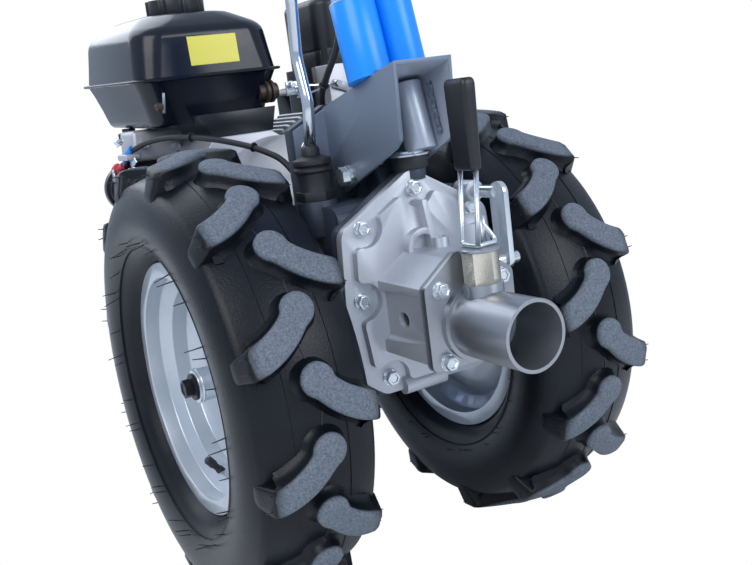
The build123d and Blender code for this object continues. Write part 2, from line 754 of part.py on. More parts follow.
def main():
    for side, word, angle in ((1, "left", LUG_ANGLE_LEFT), (-1, "right", LUG_ANGLE_RIGHT)):
        write(on_side(tyre(angle), side), "tyre_" + word)
        write(on_side(rim(), side), "rim_" + word)
        write(on_side(hub(), side), "hub_" + word)
        write(on_side(axle_shaft(), side), "axle_shaft_" + word)
        write(axle_housing(side), "axle_housing_" + word)
        write(handlebar(side), "handlebar_" + word)
        write(grip(side), "grip_" + word)
    write(gearbox_housing(), "gearbox_housing")
    write(rear_cover(), "rear_cover")
    write(socket_flange(), "implement_socket")
    write(drive_dog(), "drive_dog")
    write(latch_nut(), "latch_nut")
    write(latch_wire(), "latch_wire")
    write(latch_grip(), "latch_grip")
    write(selector_lever(), "selector_lever")
    write(gear_lever(), "gear_lever")
    write(gear_boot(), "gear_boot")
    write(gear_knob(), "gear_knob")
    write(bracket(), "handlebar_bracket")
    write(buffer(), "bracket_buffer")
    write(lock_bolt(), "bracket_bolt")
    write(column(), "handlebar_column")
    write(joint_bolt(), "height_bolt")
    write(cross_tube(), "handlebar_cross_tube")
    write(hand_lever(1), "clutch_lever")
    write(hand_lever(-1), "throttle_lever")
    bell = bell_housing()
    write(bell, "bell_housing")
    write(cable(STARTER_CABLE, "starter_cable") - bell, "starter_cable")
    write(cable(CONTROL_CABLE, "control_cable") - bell, "control_cable")
    write(crankcase(), "crankcase")
    write(tank_seat(), "tank_seat")
    write(cylinder(), "cylinder")
    write(cylinder_head(), "cylinder_head")
    write(carburettor(), "carburettor")
    write(fan_cover(), "fan_cover")
    write(recoil(), "recoil_starter")
    write(fuel_tank(), "fuel_tank")
    write(fuel_cap(), "fuel_cap")
    write(air_cleaner(), "air_cleaner")
    write(cylinder_cowl(), "cylinder_cowl")
    write(silencer(), "silencer")
    write(starter_motor(), "starter_motor")
    write(front_guard(), "front_guard")
    write(parking_stand(), "parking_stand")


if __name__ == "__main__":
    main()
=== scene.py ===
import json
import math
import random

import bmesh
import bpy
from mathutils import Euler, Matrix, Vector
from mathutils.bvhtree import BVHTree


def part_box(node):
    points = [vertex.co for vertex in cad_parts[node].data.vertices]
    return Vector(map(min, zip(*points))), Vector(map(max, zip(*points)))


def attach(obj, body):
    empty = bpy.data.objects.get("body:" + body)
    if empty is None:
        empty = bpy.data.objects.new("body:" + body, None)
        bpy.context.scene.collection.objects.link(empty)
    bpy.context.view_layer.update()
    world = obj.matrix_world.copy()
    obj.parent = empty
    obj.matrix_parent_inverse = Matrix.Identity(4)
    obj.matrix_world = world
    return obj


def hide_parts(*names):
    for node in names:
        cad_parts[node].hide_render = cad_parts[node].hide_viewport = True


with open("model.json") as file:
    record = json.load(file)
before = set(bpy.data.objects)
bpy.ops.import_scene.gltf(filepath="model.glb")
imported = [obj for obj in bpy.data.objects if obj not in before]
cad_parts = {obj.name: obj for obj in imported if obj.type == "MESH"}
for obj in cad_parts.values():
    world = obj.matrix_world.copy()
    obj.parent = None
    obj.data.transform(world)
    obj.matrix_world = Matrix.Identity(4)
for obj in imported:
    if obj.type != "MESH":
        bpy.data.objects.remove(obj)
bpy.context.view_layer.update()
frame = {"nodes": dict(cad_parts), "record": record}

bl_info = {
    "name": "Power tiller",
    "version": (1, 0, 0),
    "blender": (4, 5, 0),
    "location": "View3D > Sidebar > Power tiller",
    "description": "Finishes and fine pieces of a two-wheel walking tractor",
    "category": "Object",
}

MM = 0.001
HUB_LOW, HUB_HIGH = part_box("rim_left")
AXLE = Vector(((HUB_LOW[0] + HUB_HIGH[0]) / 2, 0, (HUB_LOW[2] + HUB_HIGH[2]) / 2))
TYRE_R = AXLE.z / MM
TRACK_HALF = (HUB_LOW[1] + HUB_HIGH[1]) / 2 / MM

# Places and sizes below are in millimetres from the middle of the wheel axle
CAMERA_PLACE = (-938.3, 495.5, 285.9)
CAMERA_RIGHT = (-0.513, -0.849, -0.127)
CAMERA_UP = (0.110, -0.211, 0.971)
LENS_MM = 43.9
SENSOR_MM = 36.0

LUGS_PER_SIDE = 12
LUG_START = {"left": 123.4, "right": 178.0}
COVER_FACE = -165.0
COVER_BOLTS = ((0, 189), (65, 159), (-65, 159), (75, 88), (-75, 88), (54, 4), (-54, 4))
SOCKET_FLANGE = -245.0
BRACKET_FLANGE = -62.0
NUT_X = -266.0
LEAN = 13.0
COLUMN_X, COLUMN_Z = -148.0, 298.0
SLEEVE_LENGTH = 78.0
HINGE_X, HINGE_Z = -104.1, 488.0
KNOB_Y = 60.0
GRIP_MOUTH, BAR_Y, BAR_Z = -702.1, 262.0, 710.0
FAN_FRONT, RECOIL_FRONT, FAN_Y, FAN_Z = 400.0, 434.0, 10.0, 174.0
STARTER = (215.0, 141.0, 200.0)
GUARD_PLATE_UNDER = 71.0
GROUND = -252.5
TANK_REAR, TANK_Y, TANK_Z, TANK_PITCH = 175.0, 56.0, 332.0, 2.5
STAND_X, STAND_Z, FOOT_Z = 404.0, 24.0, -244.5
SOCKET_BOLTS = ((35, 30), (35, 100), (-35, 30), (-35, 100))
DRIVE_FACE, CASE_FACE = 92, 92
BUFFER_FOOT = (-152, -8, 220)

# Places of the engine's fittings
TERMINAL = (324, 157, 219)
SHOULDER_MIDDLE = (296, 109, 256.5)
PULL = (RECOIL_FRONT, -90, 241)
OIL_NECK, OIL_NECK_AXIS, OIL_DRAIN = (196, 92, 104), (0, 0.94, 0.34), (240, 92, 86)
SPARK_PLUG = (250, -143, 176)
FLOAT_BOWL = (182, -122, 178)
FILTER_TOP = (242, -156, 420)
SILENCER = (366, -168, 262)
TAP = (338, 128, 281)
BREATHER = (188, -6, 305)
GOVERNOR = (172, -52, 305)
TANK_TAB = (172, 127, 306)
LABEL_LOW, LABEL_HIGH = (18, 347), (83, 382)

# Bolt heads as width across the flats, height and washer radius
M5_HEAD, M6_HEAD, M8_HEAD = (8, 4, 6), (10, 4.5, 7), (13, 5.5, 9)
BRACKET_HEAD, DRIVE_HEAD, COWL_HEAD = (12, 5, 8), (10, 4.5, 6.5), (8, 3.5, 6)
WHEEL_NUT, AXLE_HEAD, HEIGHT_NUT = (12, 5.5, 8), (18, 7.5, 11), (19, 8, 13)


def linear(code):
    """Turns an sRGB hex colour into linear red, green, blue and alpha."""
    parts = [int(code[i:i + 2], 16) / 255 for i in (1, 3, 5)]
    return (*[c / 12.92 if c <= 0.04045 else ((c + 0.055) / 1.055) ** 2.4 for c in parts], 1)


def at(x, y, z):
    """A place given in millimetres from the axle's middle, in the frame's metres."""
    return AXLE + Vector((x, y, z)) * MM


def per_metre(size_mm):
    """Texture scale at which one feature is size_mm wide."""
    return 1 / (size_mm * MM)


def add_node(tree, kind, values=None, links=None, **settings):
    """Adds one node with its settings, its fixed values and the sockets that feed it."""
    node = tree.nodes.new(kind)
    for name, value in settings.items():
        setattr(node, name, value)
    for name, value in (values or {}).items():
        node.inputs[name].default_value = value
    for name, socket in (links or {}).items():
        tree.links.new(socket, node.inputs[name])
    return node


def new_material(name, **values):
    """A material with one principled shader, and its uniform values on the shader itself."""
    material = bpy.data.materials.new(name)
    material.use_nodes = True
    shader = material.node_tree.nodes["Principled BSDF"]
    for key, value in values.items():
        shader.inputs[key.replace("_", " ")].default_value = value
    return material, material.node_tree, shader


def object_coordinates(tree):
    """The place on the piece, in metres."""
    return add_node(tree, "ShaderNodeTexCoord").outputs["Object"]


def noise(tree, size_mm, detail=4, roughness=0.55):
    """Noise whose largest features are size_mm wide."""
    return add_node(
        tree, "ShaderNodeTexNoise",
        {"Scale": per_metre(size_mm), "Detail": detail, "Roughness": roughness},
        {"Vector": object_coordinates(tree)},
    ).outputs["Fac"]


def ramp(tree, fac, stops):
    """Colour ramp from (place, hex colour) stops."""
    node = add_node(tree, "ShaderNodeValToRGB", links={"Fac": fac})
    elements = node.color_ramp.elements
    while len(elements) < len(stops):
        elements.new(0.5)
    for element, (place, code) in zip(elements, stops):
        element.position = place
        element.color = linear(code)
    return node.outputs["Color"]


def bump(tree, shader, height, depth_mm):
    """Raises the surface by a pattern that is depth_mm deep."""
    node = add_node(tree, "ShaderNodeBump", {"Distance": depth_mm * MM, "Strength": 1.0}, {"Height": height})
    tree.links.new(node.outputs["Normal"], shader.inputs["Normal"])


def mixed(tree, fac, low, high):
    """Colour between two others, each a fixed one or a socket."""
    node = add_node(tree, "ShaderNodeMix", None, {"Factor": fac}, data_type="RGBA")
    for name, source in (("A", low), ("B", high)):
        if isinstance(source, tuple):
            node.inputs[name].default_value = source
        else:
            tree.links.new(source, node.inputs[name])
    return node.outputs["Result"]


def ranged(tree, value, low, high, start=0.0, end=1.0):
    """Takes a value that runs from start to end to one that runs from low to high."""
    limits = {"From Min": start, "From Max": end, "To Min": low, "To Max": high}
    return add_node(tree, "ShaderNodeMapRange", limits, {"Value": value}).outputs["Result"]


def colour(name):
    """The hex value of a colour in the panel."""
    return getattr(bpy.context.scene.tiller_colours, name)


MATERIALS = {}


def finish_named(name):
    """The material of that name, made once."""
    if name not in MATERIALS:
        MATERIALS[name] = tyre_rubber() if name == "tyre_rubber" else plain_finish(*FINISHES[name])
    return MATERIALS[name]


# The lugs' tops turn dull between these two depths below the tyre's outside
WALL_DEPTH, TOP_DEPTH = 7.5, 4.5
TYRE_GRAIN, TYRE_GRAIN_DEPTH, TYRE_PATCH = 2.2, 0.35, 60
WALL_ROUGHNESS, TOP_ROUGHNESS = 0.3, 0.75


def tyre_rubber():
    """Moulded tyre rubber: blue-black and half glossy, with dull grey, grainy lug tops."""
    material, tree, shader = new_material("moulded_tyre_rubber", IOR=1.52, Specular_IOR_Level=0.24)
    place = object_coordinates(tree)
    offset = add_node(tree, "ShaderNodeVectorMath", {1: tuple(AXLE)}, {0: place}, operation="SUBTRACT")
    flat = add_node(
        tree, "ShaderNodeVectorMath", {1: (1, 0, 1)}, {0: offset.outputs[0]}, operation="MULTIPLY"
    )
    radius = add_node(tree, "ShaderNodeVectorMath", links={0: flat.outputs[0]}, operation="LENGTH")
    top = ranged(
        tree, radius.outputs["Value"], 0, 1, (TYRE_R - WALL_DEPTH) * MM, (TYRE_R - TOP_DEPTH) * MM
    )
    grain = noise(tree, TYRE_GRAIN, 3, 0.7)
    wide = noise(tree, TYRE_PATCH, 3)
    wall_colour = ramp(tree, wide, [(0.35, colour("tyre_dark")), (0.65, colour("tyre"))])
    top_colour = ramp(tree, grain, [(0.3, colour("lug_top_dark")), (0.7, colour("lug_top"))])
    tree.links.new(mixed(tree, top, wall_colour, top_colour), shader.inputs["Base Color"])
    tree.links.new(ranged(tree, top, WALL_ROUGHNESS, TOP_ROUGHNESS), shader.inputs["Roughness"])
    bump(tree, shader, grain, TYRE_GRAIN_DEPTH)
    return material


TONE_PATCH = 70
ROUGHNESS_SWING = 0.2


def plain_finish(name, colour_name, metallic, roughness, grain_mm, grain_depth, spread=0.06, shine=0.5):
    """A finish with a fine surface grain and a slight drift of tone over large patches."""
    material, tree, shader = new_material(
        name, Metallic=metallic, Roughness=roughness, Specular_IOR_Level=shine
    )
    base = Vector(linear(colour(colour_name))[:3])
    low, high = (tuple(min(part, 1) for part in base * (1 + change)) + (1,) for change in (-spread, spread))
    tone = mixed(tree, noise(tree, TONE_PATCH, 3), low, high)
    tree.links.new(tone, shader.inputs["Base Color"])
    fine = noise(tree, grain_mm, 4, 0.6)
    rough = ranged(
        tree, fine, roughness * (1 - ROUGHNESS_SWING), min(1, roughness * (1 + ROUGHNESS_SWING))
    )
    tree.links.new(rough, shader.inputs["Roughness"])
    bump(tree, shader, fine, grain_depth)
    return material


# Material name, colour, metallic, roughness, and the grain's width and depth in millimetres,
# then the drift of tone and the specular level where they aren't the usual ones
FINISHES = {
    # Metallic enamel baked on pressed steel: a broad, soft silver shine
    "rim_enamel": ("silver_wheel_enamel", "rim", 0.55, 0.3, 3.0, 0.04),
    # Aluminium as it leaves the die: pale and satin, with a fine orange peel
    "die_cast": ("die_cast_aluminium", "cast", 0.6, 0.42, 1.6, 0.12),
    # Sand casting between the wheels, with the sand's grain: its dark colour is painted shade
    "casting_painted_shade": ("painted_shade_casting", "housing", 0.1, 0.45, 2.5, 0.2),
    # Bare steel off the lathe: grey, and bright where a lamp meets it
    "turned_steel": ("turned_steel", "socket", 0.9, 0.32, 1.2, 0.03),
    # Electroplated zinc: small parts that glint bluish white
    "zinc": ("bright_zinc_plate", "zinc", 0.9, 0.25, 1.0, 0.02),
    # Zinc dipped in chromate: the same glint, gone warm
    "yellow_steel": ("yellow_passivated_steel", "nut", 0.85, 0.28, 1.0, 0.03),
    # Injection moulded plastic: black with a dull sheen
    "black_plastic": ("moulded_black_plastic", "plastic", 0.0, 0.38, 1.5, 0.04),
    # Chrome plate on polished rod: a near mirror
    "chrome": ("chromed_rod", "chrome", 1.0, 0.16, 2.0, 0.002),
    # Moulded rubber: black and almost without shine
    "soft_rubber": ("moulded_soft_rubber", "rubber", 0.0, 0.55, 1.5, 0.05),
    # Sprayed grey enamel on folded plate: an even satin
    "grey_enamel": ("grey_plate_enamel", "bracket", 0.25, 0.42, 2.0, 0.05),
    # The same enamel over the machined sleeve, a little shinier; its paler colour is a painted highlight
    # along its length
    "sleeve_highlight_paint": ("satin_sleeve_painted_highlight", "sleeve", 0.4, 0.35, 2.0, 0.05),
    # Gloss enamel on drawn tube: clean blue with one long highlight
    "blue_enamel": ("bright_blue_enamel", "blue", 0.0, 0.3, 6.0, 0.004, 0.04),
    # Bare engine casting: warm silver, a little rougher than the cover
    "engine_casting": ("engine_casting", "engine", 0.6, 0.45, 1.8, 0.12),
    # Gloss paint on pressed steel: deep black that mirrors the lamps along its edges
    "tank_gloss": ("black_tank_gloss", "tank", 0.0, 0.2, 8.0, 0.002, 0.1, 0.38),
    # Heat-proof paint on thin covers: half glossy black
    "heat_paint": ("half_gloss_heat_paint", "heat", 0.1, 0.3, 1.5, 0.03),
    # Dipped rubber boot: bright red, softly shining
    "red_boot": ("red_rubber_boot", "boot", 0.0, 0.4, 2.0, 0.04),
    # Black oxide on steel: dark, with a metal's glint
    "black_oxide": ("black_oxide_steel", "oxide", 0.5, 0.38, 1.5, 0.03),
    # Bare steel browned by heat and damp: uneven in tone
    "rusted_steel": ("browned_steel", "browned", 0.6, 0.5, 2.5, 0.08, 0.25),
    # Plain adhesive film: flat yellow with a slight sheen
    "label": ("blank_yellow_film", "label", 0.0, 0.35, 5.0, 0.01, 0.03),
}

SLOT_FINISH = {
    "tyre": "tyre_rubber", "rim_silver": "rim_enamel", "hub_steel": "zinc",
    "cast_aluminium": "die_cast", "housing_dark": "casting_painted_shade", "socket_steel": "turned_steel",
    "zinc": "zinc", "brass_nut": "yellow_steel", "grip_black": "black_plastic", "chrome_rod": "chrome",
    "rubber_black": "soft_rubber", "bracket_grey": "grey_enamel", "blue_paint": "blue_enamel",
    "engine_silver": "engine_casting", "tank_black": "tank_gloss", "engine_black": "heat_paint",
}


def node_slot(node):
    """The record's material slot of a CAD node."""
    for subpart in frame["record"]["subparts"]:
        if subpart["node"] == node:
            return subpart["material_slot"]
    raise ValueError("no such node: " + node)


def node_body(node):
    """The body that a CAD node rides on."""
    for body, nodes in frame["record"]["behaviour"]["bodies"].items():
        if node in nodes:
            return body
    raise ValueError("no such node: " + node)


def finished(name, bm, finish, body, replaces=(), angle=32):
    """Makes the piece from its bmesh, smooths it and ties it to its body."""
    mesh = bpy.data.meshes.new(name)
    bm.to_mesh(mesh)
    bm.free()
    mesh.shade_smooth()
    mesh.set_sharp_from_angle(angle=math.radians(angle))
    mesh.materials.append(finish_named(finish))
    piece = bpy.data.objects.new(name, mesh)
    bpy.context.scene.collection.objects.link(piece)
    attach(piece, body)
    if replaces:
        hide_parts(*replaces)
    return piece


# Bent tubes and wires keep their swept faces, which already run smoothly
SWEPT = {
    "handlebar_left", "handlebar_right", "handlebar_cross_tube", "gear_lever", "latch_wire", "starter_cable",
    "control_cable", "front_guard", "parking_stand", "clutch_lever", "throttle_lever",
}


CREASE, FLAT_WITHIN = 28, 0.5


def soften(node, width_mm):
    """Stands a copy of a CAD node with its edges rounded in the node's place."""
    bm = bmesh.new()
    bm.from_mesh(frame["nodes"][node].data)
    bmesh.ops.remove_doubles(bm, verts=bm.verts, dist=1e-6)
    if node not in SWEPT:
        bmesh.ops.dissolve_limit(
            bm, angle_limit=math.radians(FLAT_WITHIN), verts=bm.verts, edges=bm.edges,
            use_dissolve_boundaries=False,
        )
        sharp = [e for e in bm.edges if e.is_manifold and e.calc_face_angle(0) > math.radians(CREASE)]
        bmesh.ops.bevel(
            bm, geom=sharp, offset=width_mm * MM, segments=2, profile=0.5, material=-1,
            affect="EDGES", clamp_overlap=True,
        )
    slot = node_slot(node)
    return finished(node + "_finished", bm, SLOT_FINISH[slot], node_body(node), (node,))


def turn_into_wheel(bm, side):
    """Moves a wheel shape, drawn about the Y axis with its outer face to +Y, to its side."""
    sign = 1 if side == "left" else -1
    bmesh.ops.scale(bm, verts=bm.verts, vec=(MM, MM * sign, MM))
    bmesh.ops.translate(bm, verts=bm.verts, vec=AXLE + Vector((0, sign * TRACK_HALF * MM, 0)))
    bmesh.ops.recalc_face_normals(bm, faces=bm.faces)


def spun(profile, steps, closed=True):
    """Spins a profile of (radius, width) points about the Y axis."""
    bm = bmesh.new()
    verts = [bm.verts.new((radius, width, 0)) for radius, width in profile]
    loop = list(zip(verts, verts[1:] + verts[:1] if closed else verts[1:]))
    edges = [bm.edges.new(pair) for pair in loop]
    bmesh.ops.spin(
        bm, geom=verts + edges, cent=(0, 0, 0), axis=(0, 1, 0), angle=2 * math.pi,
        steps=steps, use_merge=True, use_duplicate=False,
    )
    bmesh.ops.remove_doubles(bm, verts=bm.verts, dist=1e-4)
    return bm


def arc(start, through, end, count):
    """Points on the circle through three points, without the last one."""
    (ax, ay), (bx, by), (cx, cy) = start, through, end
    d = 2 * (ax * (by - cy) + bx * (cy - ay) + cx * (ay - by))
    a2, b2, c2 = ax * ax + ay * ay, bx * bx + by * by, cx * cx + cy * cy
    ox = (a2 * (by - cy) + b2 * (cy - ay) + c2 * (ay - by)) / d
    oy = (a2 * (cx - bx) + b2 * (ax - cx) + c2 * (bx - ax)) / d
    radius = math.hypot(ax - ox, ay - oy)
    first, mid, last = (math.atan2(y - oy, x - ox) for x, y in (start, through, end))
    full = 2 * math.pi
    sweep = (last - first) % full
    if (mid - first) % full > sweep:
        sweep -= full
    return [
        (ox + radius * math.cos(first + sweep * i / count), oy + radius * math.sin(first + sweep * i / count))
        for i in range(count)
    ]


# Tyre section as (radius, distance from its middle): the rim's edge, the swell above it, the foot and the
# bulge of the side wall, and the edge of the tread
RIM_EDGE, RIM_SWELL, WALL_FOOT = (141.5, 43.5), (146, 50), (150, 55)
BULGE, TREAD_EDGE = (186, 69), (224, 58)
BEAD_R, BEAD_TOP, BEAD_HALF = 127, 140, 41.5
LINER_HALF, LINER_TOP = 30, 226
CROWN_TOP, CROWN_BEND = 235.0, 158.4


def other_side(place):
    """The same place on the tyre's other half."""
    return place[0], -place[1]


def carcass():
    """Tyre carcass with a bead, a bulging side wall, a raised edge line and a round crown."""
    outer = (
        [(BEAD_R, LINER_HALF), (BEAD_R, BEAD_HALF), (BEAD_TOP, BEAD_HALF)]
        + arc(RIM_EDGE, RIM_SWELL, WALL_FOOT, 3)
        + arc(WALL_FOOT, BULGE, TREAD_EDGE, 16)
        + arc(TREAD_EDGE, (CROWN_TOP, 0), other_side(TREAD_EDGE), 20)
        + arc(other_side(TREAD_EDGE), other_side(BULGE), other_side(WALL_FOOT), 16)
        + arc(other_side(WALL_FOOT), other_side(RIM_SWELL), other_side(RIM_EDGE), 3)
        + [(BEAD_TOP, -BEAD_HALF), (BEAD_R, -BEAD_HALF), (BEAD_R, -LINER_HALF)]
        + arc((BEAD_R, -LINER_HALF), (LINER_TOP, 0), (BEAD_R, LINER_HALF), 10)[1:]
    )
    return spun(outer, 120)


def crown(width):
    """Radius of the carcass under the lugs at a distance from its middle."""
    return CROWN_TOP - CROWN_BEND + math.sqrt(CROWN_BEND ** 2 - width ** 2)


# The lug's centre line bends outwards over the crown, then runs straight across the shoulder
LUG_BEND_END, LUG_STRAIGHT_STEP = (56, 39), (4, 0.3)
LUG_ROUTE = arc((0, 0), (29, 28), LUG_BEND_END, 40) + [
    (LUG_BEND_END[0] + step * LUG_STRAIGHT_STEP[0], LUG_BEND_END[1] + step * LUG_STRAIGHT_STEP[1])
    for step in range(11)
]
LUG_HEAD_R = 14.6
LUG_NECK, LUG_SWELL, LUG_NARROWING = 11.6, 2.2, 3.5
SWELL_FROM, SWELL_OVER = 16, 45
NARROW_FROM, NARROW_OVER = 76, 34
TIP_FROM, TIP_SLOPE = 96, 0.35
# The tread falls away by this much up to the shoulder, where the lugs lean over
SHOULDER, TREAD_FALL, SHOULDER_LEAN = 56.0, 6.5, 73
LEAN_FROM, LEAN_OVER = 5, 12
SIDE_FALL, SIDE_WIDENING = 0.958, 0.287
WRAP_R = 250


def along_route(travel):
    """Place and direction on the lug's centre line after that many millimetres."""
    left = travel
    for start, end in zip(LUG_ROUTE, LUG_ROUTE[1:]):
        step = math.dist(start, end)
        ahead = ((end[0] - start[0]) / step, (end[1] - start[1]) / step)
        if left <= step or end == LUG_ROUTE[-1]:
            return (start[0] + ahead[0] * left, start[1] + ahead[1] * left), ahead
        left -= step


def lug_half(travel):
    """Half width of the lug: round head, waist behind it, wider at the shoulder, narrow at the end."""
    swell = LUG_SWELL * min(1.0, max(0.0, (travel - SWELL_FROM) / SWELL_OVER))
    body = LUG_NECK + swell - LUG_NARROWING * max(0.0, (travel - NARROW_FROM) / NARROW_OVER)
    head = math.sqrt(max(0.0, LUG_HEAD_R ** 2 - travel ** 2)) if travel < LUG_HEAD_R else 0.0
    return (body + head + math.sqrt((body - head) ** 2 + 3)) / 2 if travel > 0 else LUG_HEAD_R


# Share of the half width, and how far outside it and below the top, for each row of the lug
LUG_ROWS = (
    (0.0, 0, 0), (0.45, 0, 0.05), (0.8, 0, 0.35), (0.95, 0, 0.9), (1.0, 0.7, 2.0), (1.0, 1.4, 4.5),
    (1.0, 2.4, 11.0), (1.0, 4.2, 15.5), (1.0, 8.5, 19.0),
)
HEAD_STEPS = 9


def lug(mirrored):
    """One lug as a grid bent to its curve: it lies on the crown and runs down over the shoulder."""
    bm = bmesh.new()
    travels = [2.5 * step for step in range(1, 8)] + [17.5 + 4.6 * step for step in range(1, 20)]
    columns, rows = HEAD_STEPS + len(travels), 2 * (len(LUG_ROWS) - 1)
    bmesh.ops.create_grid(bm, x_segments=columns, y_segments=rows, size=1)
    centre, ahead = along_route(0)
    for vert in bm.verts:
        column = round((vert.co.x + 1) / 2 * columns)
        row = round((vert.co.y + 1) / 2 * rows) - rows // 2
        share, out, drop = LUG_ROWS[abs(row)]
        sign = -1 if row < 0 else 1
        if column <= HEAD_STEPS:
            turn = math.pi / 2 * column / HEAD_STEPS
            reach = LUG_HEAD_R * share + out
            across = (-ahead[1] * math.sin(turn) * sign, ahead[0] * math.sin(turn) * sign)
            place = (
                centre[0] + reach * (across[0] - ahead[0] * math.cos(turn)),
                centre[1] + reach * (across[1] - ahead[1] * math.cos(turn)),
            )
            travel = 0.0
        else:
            travel = travels[column - HEAD_STEPS - 1]
            here, way = along_route(travel)
            reach = (lug_half(travel) * share + out) * sign
            place = (here[0] - way[1] * reach, here[1] + way[0] * reach)
        drop += max(0, travel - TIP_FROM) * TIP_SLOPE
        vert.co = (place[0] * (-1 if mirrored else 1), place[1], -drop)
    bmesh.ops.remove_doubles(bm, verts=bm.verts, dist=0.05)
    return bm


def on_tyre(width, along, height, angle):
    """Bends a flat lug place over the crown and the shoulder, and round the wheel."""
    reach = abs(width)
    crown_radius = TYRE_R - TREAD_FALL * (min(reach, SHOULDER) / SHOULDER) ** 2
    over = max(0.0, reach - SHOULDER)
    lean = min(1.0, max(0.0, (reach - SHOULDER + LEAN_FROM) / LEAN_OVER)) * math.radians(SHOULDER_LEAN)
    radius = crown_radius - over * SIDE_FALL + height * math.cos(lean)
    wide = min(reach, SHOULDER) + over * SIDE_WIDENING + height * math.sin(lean)
    turn = math.radians(angle) + along / WRAP_R
    return Vector((radius * math.cos(turn), math.copysign(wide, width), radius * math.sin(turn)))


def add_to(whole, part):
    """Moves one bmesh into another."""
    mesh = bpy.data.meshes.new("part")
    part.to_mesh(mesh)
    part.free()
    whole.from_mesh(mesh)
    bpy.data.meshes.remove(mesh)


def mould_line(width, radius, high, half):
    """Thin ring of rubber left at a joint of the mould."""
    foot = radius - 0.6
    return spun([(foot, width - half), (radius + high, width), (foot, width + half)], 96)


CRACK_STEPS = 240
CRACK_SWING, CRACK_WANDER, CRACK_HALF, CRACK_THICK = 4.5, 0.8, 0.75, 0.8


def centre_crack(chance):
    """Wandering line that the mould's two halves leave along the middle of the tread."""
    bm = bmesh.new()
    bmesh.ops.create_grid(bm, x_segments=CRACK_STEPS, y_segments=1, size=1)
    wander = [chance.uniform(-CRACK_WANDER, CRACK_WANDER) for _ in range(CRACK_STEPS)]
    for vert in bm.verts:
        step = round((vert.co.x + 1) * CRACK_STEPS / 2) % CRACK_STEPS
        turn = 2 * math.pi * step / CRACK_STEPS
        zig = CRACK_SWING * math.sin(turn * LUGS_PER_SIDE) + wander[step]
        radius = crown(zig) + (0.5 if vert.co.y > 0 else 0.35)
        wide = zig + CRACK_HALF * vert.co.y
        vert.co = (radius * math.cos(turn), wide, radius * math.sin(turn))
    bmesh.ops.remove_doubles(bm, verts=bm.verts, dist=0.01)
    bmesh.ops.solidify(bm, geom=bm.faces, thickness=-CRACK_THICK)
    return bm


def hair(place, way, length):
    """One tapering rubber hair."""
    bm = bmesh.new()
    bmesh.ops.create_cone(bm, cap_ends=True, segments=5, radius1=0.8, radius2=0.45, depth=length)
    turn = Vector((0, 0, 1)).rotation_difference(Vector(way)).to_matrix().to_4x4()
    foot = Vector(place) + Vector(way).normalized() * length / 2
    bmesh.ops.transform(bm, matrix=Matrix.Translation(foot) @ turn, verts=bm.verts)
    return bm


# Angle from a lug, radius, distance from the tyre's middle, and share of the full length, of each hair
HAIR_ROOTS = (
    (-1.8, 166, 65.5, 1.0), (1.8, 166, 65.5, 1.0), (12, 168, 66, 0.8), (7.4, 240, 57, 0.5),
    (11, 240, 57, 0.5),
)
INNER_HAIRS = 0.38
LUG_HAIR_R = 200


def hairs(side, chance):
    """Hairs on the side wall and at the ends of the lugs, worn short where they pass the gearbox."""
    whole = bmesh.new()
    longest = bpy.context.scene.tiller_sizes.hair_length / MM
    pitch = 360 / LUGS_PER_SIDE
    for step in range(LUGS_PER_SIDE):
        for face in (1, -1):
            base = LUG_START[side] + (step + (0 if face > 0 else 0.5)) * pitch
            for shift, radius, wide, share in HAIR_ROOTS:
                turn = math.radians(base + shift + chance.uniform(-0.6, 0.6))
                inward = 0.25 if radius < LUG_HAIR_R else 0.0
                way = (
                    chance.uniform(-0.2, 0.2) - inward * math.cos(turn), face,
                    chance.uniform(-0.2, 0.2) - inward * math.sin(turn),
                )
                place = (radius * math.cos(turn), face * wide, radius * math.sin(turn))
                length = longest * share * (1 if face > 0 else INNER_HAIRS) * chance.uniform(0.6, 1.0)
                add_to(whole, hair(place, way, length))
    return whole


class TillerSizes(bpy.types.PropertyGroup):
    """Sizes that a user may change."""
    hair_length: bpy.props.FloatProperty(
        name="Moulding hair", description="Length of the rubber hairs left by the mould",
        default=0.018, min=0.0, max=0.025, unit="LENGTH",
    )
    edge_round: bpy.props.FloatProperty(
        name="Edge rounding", description="Rounding of edges on castings and plate",
        default=0.0009, min=0.0001, max=0.003, unit="LENGTH",
    )


def hex_colour(label, default):
    """A colour in the panel."""
    return bpy.props.StringProperty(name=label, description="sRGB hex colour", default=default)


class TillerColours(bpy.types.PropertyGroup):
    """Colours of the finishes, as sRGB hex values."""
    tyre: hex_colour("Tyre", "#11151C")
    tyre_dark: hex_colour("Tyre in the folds", "#090C12")
    lug_top: hex_colour("Lug tops", "#757D88")
    lug_top_dark: hex_colour("Lug top grain", "#495059")
    rim: hex_colour("Rim", "#BCC3CB")
    cast: hex_colour("Rear cover", "#B2B6BE")
    # Dark grey-blue that paints the shade falling on the gearbox between the wheels
    housing: hex_colour("Gearbox", "#333B49")
    socket: hex_colour("Implement socket", "#9EA1A7")
    zinc: hex_colour("Zinc", "#D3DADF")
    nut: hex_colour("Latch nut", "#DCD5C6")
    plastic: hex_colour("Black plastic", "#15171B")
    chrome: hex_colour("Chrome", "#C8CDD4")
    rubber: hex_colour("Soft rubber", "#1B1D22")
    bracket: hex_colour("Bracket", "#717C8D")
    # Paler grey that paints the highlight along the bracket's sleeve
    sleeve: hex_colour("Bracket sleeve", "#AEB6C4")
    blue: hex_colour("Blue enamel", "#0C8CF2")
    engine: hex_colour("Engine casting", "#B9BAC0")
    tank: hex_colour("Fuel tank", "#0E1420")
    heat: hex_colour("Engine covers", "#1D1F24")
    oxide: hex_colour("Black bolts", "#1A1C21")
    browned: hex_colour("Browned steel", "#51463F")
    boot: hex_colour("Terminal boot", "#B3202C")
    label: hex_colour("Blank label", "#E6DC5A")


